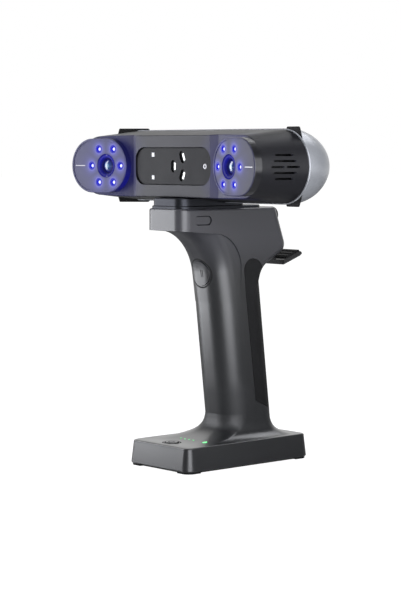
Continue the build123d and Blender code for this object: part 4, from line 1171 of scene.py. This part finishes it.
class SCANNER_OT_back(ScannerOperator, bpy.types.Operator):
    """Finish the keys, the sockets and the screws at the back"""
    bl_idname = "scanner.back"
    bl_label = "Back"
    wear = {
        "black": "rear_scan_key rear_plus_key rear_minus_key",
        "steel": "head_port base_port base_screws",
    }

    def build(self, scene):
        self.screws()
        for key, shape in KEY_MARKS.items():
            self.key_mark(key, shape)
        self.tongues()

    def screws(self):
        """Screws with a hexagon socket in place of the plain ones."""
        lo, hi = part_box("head_screws")
        bm = bmesh.new()
        middle = (lo[2] + hi[2]) / 2
        end = lo[1] - hi[1]
        profile = [
            (0, -SOCKET_DEEP), (SOCKET, -SOCKET_DEEP), (SOCKET, 0), (SCREW_HEAD - SCREW_ROUND, 0),
            (SCREW_HEAD, -SCREW_ROUND), (SCREW_HEAD, -SCREW_HIGH), (SCREW_SHANK, -SCREW_HIGH),
            (SCREW_SHANK, end + SCREW_ROUND), (SCREW_SHANK - SCREW_ROUND, end), (0, end)]
        for x in SCREW_PLACES:
            place = facing((x, hi[1], middle), -1)
            turn_profile(bm, profile, place, steps=24)
            self.hexagon(bm, place)
        new_piece("back_screws", bm, finish("steel"), ("head_screws",))

    def hexagon(self, bm, place):
        """Pull the round socket of a screw to six flats."""
        back = place.inverted()
        for vert in bm.verts:
            spot = back @ vert.co
            flat = Vector((spot.x, spot.y, 0))
            on_wall = abs(flat.length - SOCKET) < SOCKET * NEAR_SHARE
            if on_wall and spot.z > -SOCKET_DEEP * (1 + NEAR_SHARE):
                turn = flat.angle(Vector((1, 0, 0))) % (2 * HALF_FLAT) - HALF_FLAT
                flat *= cos(HALF_FLAT) / cos(turn)
                vert.co = place @ Vector((flat.x, flat.y, spot.z))

    def key_mark(self, key, shape):
        sizes, _, _ = settings()
        lo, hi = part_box(key)
        place = facing(((lo[0] + hi[0]) / 2, hi[1] + MARK_DROP, (lo[2] + hi[2]) / 2), -1)
        bm = bmesh.new()
        if shape == "ring":
            ring_face(bm, KEY_RING, KEY_RING + sizes.mark_line, place)
        else:
            bar_face(bm, KEY_BAR, sizes.mark_line, place)
        if shape == "plus":
            bar_face(bm, sizes.mark_line, KEY_BAR, place)
        lay_on(bm, key, (0, -1, 0), sizes.mark_proud)
        # the marks take the light lines' lit finish, so they glow as painted light though they are no lamp
        new_piece(key + "_mark", bm, finish("line"), body=key)

    def tongues(self):
        """Contact tongues inside the two sockets."""
        bm = bmesh.new()
        for port in ("head_port", "base_port"):
            lo, hi = (Vector(corner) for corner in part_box(port))
            middle = (lo + hi) / 2
            place = Matrix.Translation((middle.x, middle.y + TONGUE_SHIFT, middle.z))
            rounded_bar(bm, TONGUE, TONGUE_ROUND, place)
        new_piece("socket_tongues", bm, finish("inner"))


# screws in the back: places, radii of head, shank and socket, height of the head, depth of the socket
SCREW_PLACES = (-0.078, -0.052, 0.052, 0.078)
SCREW_HEAD = 0.00229
SCREW_SHANK = 0.0013
SCREW_HIGH = 0.0014
SCREW_ROUND = 0.0003
SOCKET = 0.0013
SOCKET_DEEP = 0.0010
# half the turn of one flat of the socket, and how near its wall a vertex has to lie
HALF_FLAT = pi / 6
NEAR_SHARE = 0.02
# marks on the keys at the back, the radius of the ring and the length of the bars
KEY_MARKS = {"rear_scan_key": "ring", "rear_plus_key": "plus", "rear_minus_key": "minus"}
KEY_RING = 0.0016
KEY_BAR = 0.0024
# contact tongue of a socket, its rounding and how far it stands back from the middle
TONGUE = (0.0058, 0.0048, 0.0007)
TONGUE_ROUND = 0.00014
TONGUE_SHIFT = -0.0008


class SCANNER_OT_inner_works(ScannerOperator, bpy.types.Operator):
    """Finish the pieces inside the housings"""
    bl_idname = "scanner.inner_works"
    bl_label = "Inner works"
    wear = {
        "board": "main_board key_board control_board trigger_board",
        "inner": "projector battery_cradle power_switch trigger_switch",
        "metal": "chassis heat_sink",
        "wrap": "battery_cells",
        "steel": "shoe_screw release_latch hinge_pin",
    }


class SCANNER_PT_sidebar(bpy.types.Panel):
    """Buttons for each group of pieces"""
    bl_idname = "SCANNER_PT_sidebar"
    bl_label = "Scanner"
    bl_space_type = "VIEW_3D"
    bl_region_type = "UI"
    bl_category = "Scanner"

    def draw(self, context):
        for operator in STEPS:
            self.layout.operator(operator.bl_idname)
        for group in settings():
            box = self.layout.box()
            for name in group.bl_rna.properties.keys():
                if name not in ("rna_type", "name"):
                    box.prop(group, name, text=name.replace("_", " ").capitalize())


STEPS = (
    SCANNER_OT_head_shells, SCANNER_OT_pods, SCANNER_OT_centre_panel, SCANNER_OT_handle,
    SCANNER_OT_back, SCANNER_OT_inner_works, SCANNER_OT_stage,
)
GROUPS = {"scanner_sizes": ScannerSizes, "scanner_colours": ScannerColours, "scanner_stage": ScannerStage}


def register():
    for item in (*GROUPS.values(), *STEPS, SCANNER_PT_sidebar):
        bpy.utils.register_class(item)
    for name, group in GROUPS.items():
        setattr(bpy.types.Scene, name, PointerProperty(type=group))


def unregister():
    for name in GROUPS:
        delattr(bpy.types.Scene, name)
    for item in (SCANNER_PT_sidebar, *reversed(STEPS), *reversed(list(GROUPS.values()))):
        bpy.utils.unregister_class(item)


def main():
    register()
    for operator in STEPS:
        family, step = operator.bl_idname.split(".")
        getattr(getattr(bpy.ops, family), step)()


if __name__ == "__main__":
    main()
